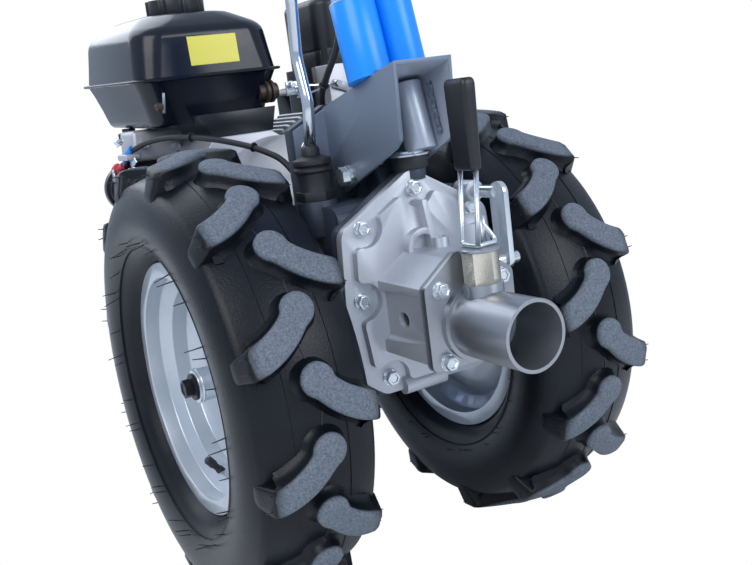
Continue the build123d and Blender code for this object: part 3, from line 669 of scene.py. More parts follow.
class TILLER_OT_tyres(bpy.types.Operator):
    """Both tyres: carcass, two staggered rows of lugs, mould lines and hairs"""
    bl_idname = "tiller.tyres"
    bl_label = "Tyres"

    def execute(self, context):
        for number, side in enumerate(("left", "right")):
            chance = random.Random(7 + number)
            body = "wheel_" + side
            bm = carcass()
            pitch = 360 / LUGS_PER_SIDE
            for step in range(LUGS_PER_SIDE):
                for mirrored in (False, True):
                    one = lug(mirrored)
                    angle = LUG_START[side] + (step + 0.5 * mirrored) * pitch
                    for vert in one.verts:
                        vert.co = on_tyre(*vert.co, angle)
                    add_to(bm, one)
            for width in (-27, 27):
                add_to(bm, mould_line(width, crown(width), 0.7, 0.6))
            for sign in (-1, 1):
                add_to(bm, mould_line(sign * 62.5, 160, 1.6, 1.2))
            turn_into_wheel(bm, side)
            finished("tyre_%s_moulded" % side, bm, "tyre_rubber", body, ("tyre_" + side,), 50)
            crack = centre_crack(chance)
            turn_into_wheel(crack, side)
            finished("tyre_%s_mould_joint" % side, crack, "soft_rubber", body)
            fine = hairs(side, chance)
            turn_into_wheel(fine, side)
            finished("tyre_%s_hairs" % side, fine, "soft_rubber", body)
        return {"FINISHED"}


def near(place, x=0.0, y=0.0, z=0.0):
    """A place so many millimetres from another."""
    return place[0] + x, place[1] + y, place[2] + z


def around(radius, turns):
    """Pairs of distances on a circle, at turns given in degrees."""
    return [(radius * math.cos(math.radians(turn)), radius * math.sin(math.radians(turn))) for turn in turns]


def in_frame(bm):
    """Takes a shape drawn in millimetres about the axle's middle to the frame."""
    bmesh.ops.scale(bm, verts=bm.verts, vec=(MM, MM, MM))
    bmesh.ops.translate(bm, verts=bm.verts, vec=AXLE)
    bmesh.ops.recalc_face_normals(bm, faces=bm.faces)
    return bm


def toward(axis, start=(0, 0, 1)):
    """Turn that takes the start direction to the axis."""
    return Vector(start).rotation_difference(Vector(axis)).to_matrix().to_4x4()


def turned(profile, foot, axis, steps=32):
    """Turned piece from a profile of (radius, travel) points that begins and ends on its axis."""
    bm = spun(profile, steps, closed=False)
    bmesh.ops.transform(bm, matrix=Matrix.Translation(foot) @ toward(axis, (0, 1, 0)), verts=bm.verts)
    return bm


def ring(centre, axis, radius, wire, steps=36):
    """Ring of round wire."""
    profile = [(radius + out, along) for out, along in around(wire, range(0, 360, 36))]
    bm = spun(profile, steps)
    bmesh.ops.transform(bm, matrix=Matrix.Translation(centre) @ toward(axis, (0, 1, 0)), verts=bm.verts)
    return bm


def block(size, centre, edge=1.5, turn=(0, 0, 0), taper=1.0, segments=3):
    """Box with rounded edges, its top narrowed by the taper."""
    bm = bmesh.new()
    bmesh.ops.create_cube(bm, size=1)
    top = [vert for vert in bm.verts if vert.co.z > 0]
    bmesh.ops.scale(bm, verts=top, vec=(taper, taper, 1))
    bmesh.ops.scale(bm, verts=bm.verts, vec=size)
    bmesh.ops.bevel(
        bm, geom=bm.edges[:], offset=edge, segments=segments, profile=0.5, material=-1, affect="EDGES"
    )
    matrix = Matrix.Translation(centre) @ Euler([math.radians(a) for a in turn]).to_matrix().to_4x4()
    bmesh.ops.transform(bm, matrix=matrix, verts=bm.verts)
    return bm


def smooth_route(points, steps):
    """Points of a smooth curve through the given ones."""
    ends = [points[0] * 2 - points[1]] + points + [points[-1] * 2 - points[-2]]
    route = []
    for a, b, c, d in zip(ends, ends[1:], ends[2:], ends[3:]):
        for step in range(steps):
            s = step / steps
            bend = (a * 2 - b * 5 + c * 4 - d) * s ** 2 + (b * 3 - a - c * 3 + d) * s ** 3
            route.append((b * 2 + (c - a) * s + bend) / 2)
    return route + [points[-1]]


def ring_edges(verts):
    """The edges that join the given points."""
    inside = set(verts)
    return list({edge for vert in verts for edge in vert.link_edges if edge.other_vert(vert) in inside})


def tube(points, radius, sides=10, steps=6, uneven=None):
    """Round tube along a smooth curve, with closed ends; uneven gives each ring its own radius."""
    route = smooth_route([Vector(point) for point in points], steps)
    bm = bmesh.new()
    way = Vector((0, 0, 1))
    turn = Matrix.Identity(4)
    rings = []
    for number, here in enumerate(route):
        ahead = route[min(number + 1, len(route) - 1)] - route[max(number - 1, 0)]
        turn = way.rotation_difference(ahead).to_matrix().to_4x4() @ turn
        way = ahead
        size = radius * (uneven(number) if uneven else 1)
        place = Matrix.Translation(here) @ turn
        rings.append(bmesh.ops.create_circle(bm, segments=sides, radius=size, matrix=place)["verts"])
    for low, high in zip(rings, rings[1:]):
        bmesh.ops.bridge_loops(bm, edges=ring_edges(low) + ring_edges(high))
    for end in (rings[0], rings[-1]):
        bmesh.ops.contextual_create(bm, geom=ring_edges(end))
    return bm


def weld(points, radius, seed=3):
    """Weld bead: a line of overlapping pools of unequal size."""
    chance = random.Random(seed)
    return tube(
        points, radius, 8, 10, lambda number: 0.85 + 0.22 * (number % 2) + chance.uniform(-0.1, 0.1)
    )


def coil(start, axis, radius, wire, turns, length):
    """Wound spring."""
    steps = int(turns * 12)
    turn = toward(axis)
    points = []
    for step in range(steps + 1):
        angle = 2 * math.pi * turns * step / steps
        place = Vector((radius * math.cos(angle), radius * math.sin(angle), length * step / steps))
        points.append(Vector(start) + (turn @ place))
    return tube(points, wire, 7, 1)


def lobed(radius, lobes, height, foot, axis, depth=0.12):
    """Knob with round lobes about its rim."""
    bm = bmesh.new()
    bmesh.ops.create_circle(bm, cap_ends=True, segments=lobes * 8, radius=radius)
    for vert in bm.verts:
        vert.co *= 1 + depth * math.cos(lobes * math.atan2(vert.co.y, vert.co.x))
    made = bmesh.ops.extrude_face_region(bm, geom=bm.faces[:])
    top = [item for item in made["geom"] if isinstance(item, bmesh.types.BMVert)]
    bmesh.ops.translate(bm, verts=top, vec=(0, 0, height))
    rims = [edge for edge in bm.edges if abs(edge.verts[0].co.z - edge.verts[1].co.z) < 0.01]
    bmesh.ops.bevel(bm, geom=rims, offset=1.4, segments=2, profile=0.5, material=-1, affect="EDGES")
    bmesh.ops.transform(bm, matrix=Matrix.Translation(foot) @ toward(axis), verts=bm.verts)
    return bm


WASHER, SPRING_WASHER = 1.5, 1.9


def bolt(place, axis, flats=13.0, height=5.5, washer=8.5, sprung=True):
    """Hexagon bolt head with a chamfered top and a cup in its face, on a spring washer and a flat one."""
    corner = flats / 2 / math.cos(math.pi / 6)
    base = WASHER + (SPRING_WASHER if sprung else 0)
    head = bmesh.new()
    bmesh.ops.create_cone(
        head, cap_ends=True, segments=6, radius1=corner, radius2=corner, depth=height,
        matrix=Matrix.Translation((0, 0, base + height / 2)),
    )
    head.normal_update()
    top = [face for face in head.faces if face.normal.z > 0.9][0]
    bmesh.ops.bevel(
        head, geom=top.edges[:], offset=0.8, segments=2, profile=0.5, material=-1, affect="EDGES"
    )
    head.normal_update()
    top = max(head.faces, key=lambda face: face.calc_center_median().z)
    bmesh.ops.inset_individual(head, faces=[top], thickness=flats * 0.13, depth=0)
    bmesh.ops.inset_individual(head, faces=[top], thickness=0.9, depth=-1.1)
    rim = [(0, 0), (washer, 0), (washer, 1.2), (washer - 0.4, WASHER), (0, WASHER)]
    parts = [head, turned(rim, (0, 0, 0), (0, 0, 1), 28)]
    if sprung:
        wide = flats * 0.52
        split = [(0, WASHER), (wide, WASHER), (wide, base), (0, base)]
        parts.append(turned(split, (0, 0, 0), (0, 0, 1), 24))
    whole = joined(parts)
    bmesh.ops.transform(whole, matrix=Matrix.Translation(place) @ toward(axis), verts=whole.verts)
    return whole


def joined(bmeshes):
    """One bmesh from several."""
    whole = bmesh.new()
    for part in bmeshes:
        add_to(whole, part)
    return whole


def piece(name, parts, finish, body="chassis", slot=None, replaces=(), angle=32):
    """Joins parts drawn in millimetres into one finished piece."""
    bm = in_frame(joined(parts))
    return finished(name, bm, finish, body, replaces, angle)


def outline_band(node, place, width, proud):
    """Band round a casting where a plane across it cuts its outline."""
    bm = bmesh.new()
    bm.from_mesh(frame["nodes"][node].data)
    bmesh.ops.remove_doubles(bm, verts=bm.verts, dist=1e-6)
    cut = bmesh.ops.bisect_plane(
        bm, geom=bm.verts[:] + bm.edges[:] + bm.faces[:], plane_co=at(place, 0, 0), plane_no=(1, 0, 0),
        clear_inner=True, clear_outer=True,
    )
    edges = [item for item in cut["geom_cut"] if isinstance(item, bmesh.types.BMEdge)]
    others = [edge for edge in bm.edges if edge not in set(edges)]
    bmesh.ops.delete(bm, geom=others, context="EDGES")
    bmesh.ops.remove_doubles(bm, verts=bm.verts, dist=1e-5)
    made = bmesh.ops.extrude_edge_only(bm, edges=bm.edges[:])
    moved = [item for item in made["geom"] if isinstance(item, bmesh.types.BMVert)]
    bmesh.ops.translate(bm, verts=moved, vec=(width * MM, 0, 0))
    bmesh.ops.recalc_face_normals(bm, faces=bm.faces)
    bm.normal_update()
    middle = at(place, 0, 90)
    if sum(face.normal.dot(face.calc_center_median() - middle) for face in bm.faces) < 0:
        bmesh.ops.reverse_faces(bm, faces=bm.faces)
    bmesh.ops.solidify(bm, geom=bm.faces, thickness=-proud * MM)
    bmesh.ops.recalc_face_normals(bm, faces=bm.faces)
    return bm


def film_on(mesh, x_from, low, high, lift=0.4):
    """Thin film laid on the rear face of a mesh, between two corners given as (y, z)."""
    wall = bmesh.new()
    wall.from_mesh(mesh)
    surface = BVHTree.FromBMesh(wall)
    wall.free()
    bm = bmesh.new()
    bmesh.ops.create_grid(bm, x_segments=16, y_segments=10, size=1)
    for vert in bm.verts:
        y = (low[0] + high[0]) / 2 + vert.co.x * (high[0] - low[0]) / 2
        z = (low[1] + high[1]) / 2 + vert.co.y * (high[1] - low[1]) / 2
        hit, normal, _, _ = surface.ray_cast(at(x_from, y, z), Vector((1, 0, 0)))
        vert.co = hit - Vector((lift * MM, 0, 0))
    bmesh.ops.solidify(bm, geom=bm.faces, thickness=lift * 0.6 * MM)
    bmesh.ops.recalc_face_normals(bm, faces=bm.faces)
    return bm


DRIVE_CIRCLE, FAN_CIRCLE, RECOIL_CIRCLE = 43, 94, 68
FAN_TURNS, RECOIL_TURNS = (60, 115, 180, 245, 300, 350), (45, 165, 285)
REAR, LEFT, FRONT, UP, DOWN = (-1, 0, 0), (0, 1, 0), (1, 0, 0), (0, 0, 1), (0, 0, -1)


class TILLER_OT_bolts(bpy.types.Operator):
    """Bolts of the castings, the bracket, the engine and the guard"""
    bl_idname = "tiller.bolts"
    bl_label = "Bolts"

    def execute(self, context):
        piece("cover_bolts", [bolt((COVER_FACE, y, z), REAR) for y, z in COVER_BOLTS], "zinc")
        piece("socket_bolts", [bolt((SOCKET_FLANGE, y, z), REAR) for y, z in SOCKET_BOLTS], "zinc")
        flange = [bolt((BRACKET_FLANGE, y, 238), REAR, *BRACKET_HEAD) for y in (-58, 58)]
        piece("bracket_flange_bolts", flange, "zinc")
        for side, sign in (("left", 1), ("right", -1)):
            drive = [
                bolt((x, sign * DRIVE_FACE, z), (0, sign, 0), *DRIVE_HEAD)
                for x, z in around(DRIVE_CIRCLE, range(30, 390, 60))
            ]
            piece("final_drive_bolts_" + side, drive, "zinc")
        fan = [
            bolt((face, FAN_Y + y, FAN_Z + z), FRONT, *M5_HEAD)
            for face, radius, turns in (
                (FAN_FRONT, FAN_CIRCLE, FAN_TURNS), (RECOIL_FRONT, RECOIL_CIRCLE, RECOIL_TURNS),
            )
            for y, z in around(radius, turns)
        ]
        piece("fan_cover_bolts", fan, "zinc")
        case = [bolt((x, CASE_FACE, z), LEFT, *M6_HEAD) for x in (166, 314) for z in (92, 222)]
        case += [bolt((x, y, GUARD_PLATE_UNDER), DOWN, *M8_HEAD) for x in (206, 314) for y in (-40, 40)]
        piece("crankcase_bolts", case, "zinc")
        cowl = [bolt((200, y, 312), REAR, *COWL_HEAD) for y in (-150, -162)]
        piece("cylinder_cowl_bolts", cowl, "zinc")
        return {"FINISHED"}


# Distances from the middle of the wheel, outwards: its dished plate, the hub's end and the end washer
PLATE_FACE, HUB_END, END_WASHER = -9.8, 29.5, 36
NUT_CIRCLE, WELD_CIRCLE = 31, 19.6
VALVE_STEM = (
    (0, 0), (8, 0), (7.4, 3), (5, 6), (4.6, 17), (3.8, 18), (3.8, 26), (4.9, 26.3), (4.9, 36),
    (3.6, 38), (0, 38),
)
END_WASHER_PROFILE = ((0, 34), (14.5, 34), (15, 34.6), (15, 36.4), (14.5, 37), (0, 37))


def hub_weld():
    """Uneven weld bead where the hub goes through the wheel's plate."""
    points = [(x, PLATE_FACE + 0.6, z) for x, z in around(WELD_CIRCLE, range(0, 375, 15))]
    return tube(points, 2.4, 8, 4, lambda number: 0.85 + 0.3 * (number % 2))


class TILLER_OT_hubs(bpy.types.Operator):
    """Hub ends: weld ring, end washer, black bolt, mounting nuts, and the valve of each rim"""
    bl_idname = "tiller.hubs"
    bl_label = "Hub ends and valves"

    def execute(self, context):
        for side in ("left", "right"):
            body = "wheel_" + side
            nuts = [
                bolt((x, PLATE_FACE, z), LEFT, *WHEEL_NUT) for x, z in around(NUT_CIRCLE, range(18, 378, 72))
            ]
            steel = joined([hub_weld(), ring((0, HUB_END, 0), LEFT, 18.4, 1.5)] + nuts)
            turn_into_wheel(steel, side)
            finished("hub_fittings_" + side, steel, "zinc", body)
            washer = turned(END_WASHER_PROFILE, (0, 0, 0), LEFT)
            end = joined([washer, bolt((0, END_WASHER, 0), LEFT, *AXLE_HEAD)])
            turn_into_wheel(end, side)
            finished("hub_end_bolt_" + side, end, "black_oxide", body)
            valve = turned(VALVE_STEM, (16, 8, -119), (-0.12, 0.6, 0.79), 20)
            turn_into_wheel(valve, side)
            finished("valve_" + side, valve, "soft_rubber", body)
        return {"FINISHED"}


# How far along X each gasket lies between its two castings
GASKETS = (("cover_gasket", "rear_cover", -154.5), ("flange_gasket", "gearbox_housing", -142.8))
COLUMN_TUBES = ((22.5, 23.4), (-21.5, 21.8))
SLEEVE_FOOT, SLEEVE_R = (-168, -14, 224), 23.8


def column_directions():
    """Across and along the leaning column."""
    lean = math.radians(LEAN)
    return Vector((math.cos(lean), 0, -math.sin(lean))), Vector((math.sin(lean), 0, math.cos(lean)))


def seal_pieces():
    """Gaskets, the plug of the box and the drilled boss."""
    for name, node, place in GASKETS:
        finished(name, outline_band(node, place, 0.9, 0.35), "soft_rubber", "chassis")
    plug = [(0, 0), (7.6, 0), (7.6, 1.6), (6.4, 3), (3, 3.8), (0, 4)]
    piece("box_plug", [turned(plug, (-200, 43.2, 68), LEFT, 28)], "black_plastic")
    mouth = [(0, 0), (5.4, 0), (5.4, 6), (0, 6)]
    piece("boss_mouth", [turned(mouth, (-186, -12, 130.5), UP, 24)], "soft_rubber")


def latch_pieces():
    """Washer under the latch nut, and the moulded grip."""
    washer = [(0, 0), (18.8, 0), (19.4, 0.8), (19.4, 2.4), (18.6, 3.4), (0, 3.6)]
    piece("latch_washer", [turned(washer, (NUT_X, 0, 132.8), UP, 40)], "turned_steel", slot="zinc")
    grip = rounded_loft(GRIP_RINGS)
    bmesh.ops.translate(grip, verts=grip.verts, vec=(NUT_X + 4, 0.5, 0))
    piece(
        "latch_grip_moulded", [grip], "black_plastic", slot="grip_black", replaces=("latch_grip",), angle=50
    )
    collar = [(0, 0), (9.6, 0), (9.6, 6), (8.2, 9), (6.6, 10), (0, 10)]
    piece("lever_collar", [turned(collar, (-94, 72, 232), UP)], "soft_rubber")


def bracket_weld_beads():
    """Beads round the two column tubes, and the seam beside the sleeve."""
    along, upward = column_directions()
    foot = Vector((COLUMN_X, 0, COLUMN_Z))
    beads = []
    for y, radius in COLUMN_TUBES:
        points = []
        for step in range(21):
            turn = math.radians(95 + 8.5 * step)
            side_y = y + radius * math.sin(turn)
            if abs(side_y) < 32:
                out = along * (radius * math.cos(turn))
                points.append(foot + out + Vector((0, side_y, 0)) + upward * 1.2)
        beads.append(weld(points, 2.2))
    low, high = Vector((-186, -15, 238)), Vector((-176, -15, 290))
    seam = [low.lerp(high, step / 8) + Vector((0, -10.5 - 1.5 * (step % 2), 0)) for step in range(9)]
    return beads + [weld(seam, 2.6, 8)]


def sleeve_pieces():
    """Washers on the buffer, the rim of the column's sleeve, and on the sleeve a paler enamel that paints its
    highlight.
    """
    upward = column_directions()[1]
    piece("buffer_washer", [
        turned([(0, 0), (21.5, 0), (21.5, 1.6), (20.8, 2.4), (0, 2.4)], BUFFER_FOOT, UP),
        turned([(0, 0), (17.5, 0), (17.5, 2.4), (0, 2.4)], near(BUFFER_FOOT, z=2.4), UP),
    ], "zinc")
    middle = Vector((COLUMN_X, COLUMN_TUBES[0][0], COLUMN_Z)) + upward * SLEEVE_LENGTH
    piece("sleeve_rim", [ring(middle, upward, 21.6, 1.3)], "sleeve_highlight_paint", slot="bracket_grey")
    plate = bpy.data.objects["handlebar_bracket_finished"].data
    plate.materials.append(finish_named("sleeve_highlight_paint"))
    # The bracket's faces round the sleeve take the paler enamel, a painted highlight
    base = at(*SLEEVE_FOOT)
    for face in plate.polygons:
        away = face.center - base
        if (away - upward * away.dot(upward)).length < SLEEVE_R * MM:
            face.material_index = 1


class TILLER_OT_rear(bpy.types.Operator):
    """Fine pieces of the cover, the socket, the latch and the bracket"""
    bl_idname = "tiller.rear"
    bl_label = "Cover, latch and bracket"

    def execute(self, context):
        seal_pieces()
        latch_pieces()
        piece("bracket_welds", bracket_weld_beads(), "grey_enamel")
        sleeve_pieces()
        return {"FINISHED"}


# Height, length, width and corner radius of the pressed tank, from its underside to its filler
TANK_RINGS = (
    (-12, 222, 140, 24), (-11.4, 230, 148, 28), (-8, 237, 155, 30), (-2, 241, 159, 30), (14, 248, 168, 30),
    (34, 259, 181, 30), (45.4, 266, 190, 30), (46, 272, 196, 33), (46.2, 278, 202, 34), (47, 280, 204, 34),
    (49, 280, 204, 34), (49.8, 278, 202, 34), (50, 270, 194, 32), (50.6, 266, 190, 30), (74, 261, 185, 33),
    (96, 257, 181, 36), (102, 254, 178, 36), (107, 248, 172, 37), (111, 240, 164, 38), (124, 192, 126, 40),
    (126.6, 182, 116, 40), (128, 168, 102, 38),
)


# The same four sizes for the latch's moulded grip
GRIP_RINGS = (
    (207, 26, 8.5, 3), (207.5, 28.4, 10.6, 3.6), (209, 29.6, 11.8, 4), (212, 30, 12, 4), (276, 32.4, 15.2, 5),
    (283, 32.6, 15.6, 5.2), (286.5, 31.4, 14.6, 5), (288.5, 28.6, 12, 4.6), (289, 25, 8.8, 4),
)


def rounded_loft(sizes):
    """Joins rings with rounded corners from the lowest to the highest and closes both ends."""
    bm = bmesh.new()
    rings = []
    for height, length, width, corner in sizes:
        made = bmesh.ops.create_circle(bm, segments=96, radius=1)["verts"]
        for vert in made:
            angle = math.atan2(vert.co.y, vert.co.x)
            across, wide = math.cos(angle), math.sin(angle)
            middle = Vector((
                math.copysign(length / 2 - corner, across) if abs(across) > 0.02 else 0,
                math.copysign(width / 2 - corner, wide) if abs(wide) > 0.02 else 0, height,
            ))
            vert.co = middle + Vector((across, wide, 0)) * corner
        rings.append(made)
    for low, high in zip(rings, rings[1:]):
        bmesh.ops.bridge_loops(bm, edges=ring_edges(low) + ring_edges(high))
    for end in (rings[0], rings[-1]):
        bmesh.ops.contextual_create(bm, geom=ring_edges(end))
    return bm


def pressed_tank():
    """Tank pressed in two halves, at its slight pitch."""
    bm = rounded_loft(TANK_RINGS)
    turn = Matrix.Rotation(math.radians(-TANK_PITCH), 4, "Y")
    place = Matrix.Translation((TANK_REAR, TANK_Y, TANK_Z)) @ turn @ Matrix.Translation((133, 0, -46))
    bmesh.ops.transform(bm, matrix=place, verts=bm.verts)
    return in_frame(bm)


def tank_pieces():
    """The pressed tank with its blank label."""
    tank = finished(
        "fuel_tank_pressed", pressed_tank(), "tank_gloss", "chassis", ("fuel_tank",), 40
    )
    finished("tank_label", film_on(tank.data, 120, LABEL_LOW, LABEL_HIGH), "label", "chassis")


def terminal_pieces():
    """Red boot over the starter's terminal, its ring, and the cable's sleeve with a tag."""
    boot = block((36, 18, 34), TERMINAL, 6, (0, 16, 0), 0.62)
    profile = [(0, 0), (8, 0), (7, 8), (5.5, 14), (0, 14)]
    neck = turned(profile, near(TERMINAL, -14, -4, 9), (-0.8, 0, 0.35), 24)
    piece("terminal_boot", [boot, neck], "red_boot", slot="engine_black")
    eye = ring(near(TERMINAL, -12, 8.5, 1), (0.2, 1, 0), 7.4, 2.4)
    piece("terminal_ring", [eye], "turned_steel", slot="zinc")
    bends = [near(TERMINAL, *step) for step in ((-24, -6, 13), (-36, -7, 27), (-54, -10, 35))]
    tag = block((26, 4, 9), near(TERMINAL, -48, -8, 21), 1.4, (0, -28, 0))
    piece("cable_tag", [tube(bends, 5, 12, 5), tag], "blue_enamel", slot="blue_paint")


def starter_pieces():
    """Studs and strap on the starter, the casting over its end, its bands and its rear cap."""
    studs = [
        bolt(near(STARTER, 37, 19, 10), (0, 0.9, 0.4), 9, 4, 6),
        bolt(near(STARTER, 67, 17, 62), (0, 0.6, 0.8), 10, 5, 7),
        bolt(near(STARTER, 25, 17, 26), (-0.4, 0.9, 0.2), 8, 5, 6),
        block((26, 3, 8), near(STARTER, 43, 11, 36), 1.0, (0, 20, 0)),
    ]
    piece("starter_studs", studs, "zinc")
    shoulder = [
        block((64, 78, 41), SHOULDER_MIDDLE, 6, (0, 0, 0), 0.94),
        block((40, 20, 8), near(SHOULDER_MIDDLE, -14, 41, -12.5), 2),
        bolt(near(SHOULDER_MIDDLE, -32, 23, 1.5), REAR, *M6_HEAD),
        bolt(near(SHOULDER_MIDDLE, -32, -19, -6.5), REAR, *M6_HEAD),
    ]
    piece("starter_shoulder", shoulder, "engine_casting")
    bands = [ring(near(STARTER, x), FRONT, 28.6, 1.6, 48) for x in (7, 47, 109)]
    end = turned([(0, 0), (24, 0), (22, -4), (9, -5), (9, -9), (0, -9)], STARTER, FRONT)
    piece("starter_bands", bands + [end], "heat_paint", slot="engine_black")


def pull_and_oil_pieces():
    """Handle of the pull starter, the oil filler's cap and the drain plug."""
    handle = [
        tube([near(PULL, -26, 8, -5), near(PULL, 2, 2, -1)], 5.5, 14, 2),
        block((13, 46, 15), near(PULL, 8), 5, (24, 0, 0)),
    ]
    piece("pull_handle", handle, "black_plastic", slot="grip_black")
    profile = [(0, 0), (15, 0), (15, 3), (13, 4), (13, 10), (11.5, 12), (0, 12)]
    fins = lobed(12, 8, 6, near(OIL_NECK, 0, 10, 3.5), OIL_NECK_AXIS)
    cap = turned(profile, OIL_NECK, OIL_NECK_AXIS)
    piece("oil_filler", [cap, fins], "black_plastic", slot="engine_black")
    piece("oil_drain", [bolt(OIL_DRAIN, LEFT, 14, 7, 10, False)], "zinc")


def plug_cap():
    """Cap on the spark plug, and the lead that goes round the cylinder."""
    profile = [(0, 0), (11, 0), (11, 6), (8.5, 8), (8.5, 26), (7, 30), (7, 38), (0, 38)]
    bends = ((0, -15, -32), (12, -17, -42), (46, 9, -46), (76, 45, -38))
    lead = tube([near(SPARK_PLUG, *step) for step in bends], 3.4, 12, 8)
    cap = turned(profile, SPARK_PLUG, (0, -0.42, -0.9))
    piece("plug_cap", [cap, lead], "soft_rubber", slot="engine_black")


def carburettor_parts():
    """Float bowl with its bolt, the choke lever and its rod."""
    bowl = [(0, 0), (6, 0), (15, 4), (17, 10), (17, 26), (0, 26)]
    rod = [near(FLOAT_BOWL, *step) for step in ((-22, 16, 128), (-32, 42, 122), (-36, 82, 114))]
    piece("carburettor_parts", [
        turned(bowl, FLOAT_BOWL, UP), bolt(FLOAT_BOWL, DOWN, 8, 4, 5, False),
        block((4, 30, 12), near(FLOAT_BOWL, -20, 4, 122), 1.2, (20, 0, 0)),
        turned([(0, 0), (4, 0), (4, 12), (0, 12)], near(FLOAT_BOWL, -16, 12, 126), REAR, 16),
        tube(rod, 1.4, 8, 6),
    ], "turned_steel", slot="engine_silver")


def filter_and_silencer_pieces():
    """Wing nut of the air cleaner, and the silencer's outlet with its guard's bolts."""
    wing = [
        turned([(0, 0), (7, 0), (6, 7), (4, 9), (0, 9)], FILTER_TOP, UP, 24),
        block((28, 4, 9), near(FILTER_TOP, z=7), 1.8, (0, 0, 25)),
    ]
    piece("filter_nut", wing, "zinc")
    mouth = [(0, 0), (13, 0), (13, 18), (10.5, 18), (10.5, 6), (0, 6)]
    outlet = [turned(mouth, near(SILENCER, 44, 0, 26), FRONT)]
    guard = [bolt(near(SILENCER, 49, y, z), FRONT, *M5_HEAD) for y, z in ((-22, -34), (22, -34), (-22, 36))]
    piece("silencer_outlet", outlet + guard, "turned_steel", slot="engine_black")


def fuel_tap():
    """Tap under the tank, its lever and its pipe."""
    body = [(0, 0), (9, 0), (9, 10), (6, 12), (6, 20), (0, 20)]
    bends = ((0, 0, -19), (0, -18, -29), (-6, -36, -19))
    piece("fuel_tap", [
        turned(body, TAP, DOWN, 24), block((22, 6, 7), near(TAP, 0, 8, -9), 2, (0, 0, 15)),
        tube([near(TAP, *step) for step in bends], 3, 10, 6),
    ], "black_plastic", slot="engine_black")


def breather_and_governor_pieces():
    """Browned breather pipe, and the governor's plate with its rod."""
    right = (0, -1, 0)
    flange = [(0, 0), (14.5, 0), (14.5, 4), (0, 4)]
    pipe = turned([(0, 0), (10.5, 0), (10.5, 26), (0, 26)], BREATHER, right)
    flanges = [turned(flange, near(BREATHER, 0, y), right) for y in (-9, -16)]
    piece("breather_pipe", flanges + [pipe], "rusted_steel", slot="engine_silver")
    bends = ((-4, 2, 1), (-6, -14, 1), (-8, -48, -1))
    piece("governor_plate", [
        block((3, 26, 18), GOVERNOR, 1.0), bolt(near(GOVERNOR, -1.5, 6, 4), REAR, *M5_HEAD),
        bolt(near(GOVERNOR, -1.5, -6, -5), REAR, *M5_HEAD),
        tube([near(GOVERNOR, *step) for step in bends], 2.0, 8, 6),
    ], "zinc")


def tank_mounting():
    """Tab and browned stud that hold the tank at its left rear corner."""
    piece("tank_tab", [block((3, 3.5, 25), TANK_TAB, 1.0, (8, 0, 0))], "turned_steel", slot="engine_black")
    stud = turned([(0, 0), (5.5, 0), (5.5, 2), (4, 4.5), (0, 5.5)], near(TANK_TAB, 0, 7, -4), REAR, 24)
    piece("tank_stud", [stud], "rusted_steel", slot="engine_black")


class TILLER_OT_engine(bpy.types.Operator):
    """Fine pieces of the engine: terminal, label, plug, handle, caps and linkage"""
    bl_idname = "tiller.engine"
    bl_label = "Engine fittings"

    def execute(self, context):
        for make in (
            tank_pieces, terminal_pieces, starter_pieces, pull_and_oil_pieces, plug_cap, carburettor_parts,
            filter_and_silencer_pieces, fuel_tap, breather_and_governor_pieces, tank_mounting,
        ):
            make()
        return {"FINISHED"}


# Ribs of the hand grip, and the lever that hangs below it
GRIP_RIBS, RIB_PITCH = 5, 20
LEVER_SLEEVE_MOUTH, LEVER_SLOPE = (-746, 661.4), 0.037
LEVER_PIVOT_X, LEVER_PIVOT_Z = -691, 688


def hand_grip(side, sign):
    """Ribbed rubber grip with a collar at each end."""
    profile = [(0, 0), (18.6, 0), (18.6, 3), (16.4, 4.5)]
    for rib in range(GRIP_RIBS):
        base = 10 + RIB_PITCH * rib
        profile += [(16.2, base), (17.4, base + 4), (18.0, base + 10), (17.4, base + 16)]
    profile += [(16.2, 112), (18.2, 114), (18.2, 123), (16.5, 126.4), (0, 126.4)]
    grip = turned(profile, (GRIP_MOUTH, sign * BAR_Y, BAR_Z), REAR, 36)
    piece("grip_%s_moulded" % side, [grip], "soft_rubber", "handlebar", "rubber_black", ("grip_" + side,))


def lever_pieces(side, sign):
    """Rubber sleeve of the hand lever, its pivot block, and the bracket along the bar."""
    profile = [(0, 0), (6.6, 0), (7.4, 4), (7.4, 70), (6.8, 76), (0, 76)]
    x, z = LEVER_SLEEVE_MOUTH
    sleeve = turned(profile, (x, sign * BAR_Y, z), (-1, 0, -LEVER_SLOPE), 20)
    piece("lever_sleeve_" + side, [sleeve], "soft_rubber", "handlebar", "rubber_black")
    pivot = (LEVER_PIVOT_X, sign * BAR_Y, LEVER_PIVOT_Z)
    bends = ((7, -2, 2), (27, -3, 4), (51, -6, 6))
    piece("lever_pivot_" + side, [
        block((16, 15, 15), pivot, 2.5), bolt(near(pivot, 0, -7 * sign), (0, -sign, 0), 8, 4, 5.5, False),
        tube([near(pivot, x, sign * y, z) for x, y, z in bends], 3.2, 12, 6),
    ], "turned_steel", "handlebar", "zinc")


def height_clamp():
    """Star knob and nut of the bolt that sets the handlebars' height."""
    knob = [
        lobed(18.2, 5, 12, (HINGE_X, KNOB_Y - 9, HINGE_Z), LEFT, 0.13),
        turned([(0, 0), (9, 0), (8, 3), (0, 3.4)], (HINGE_X, KNOB_Y + 2.8, HINGE_Z), LEFT),
    ]
    piece("height_knob", knob, "black_plastic", "handlebar", "zinc")
    nut = bolt((HINGE_X, 1 - KNOB_Y, HINGE_Z), (0, -1, 0), *HEIGHT_NUT)
    piece("height_nut", [nut], "zinc", "handlebar")


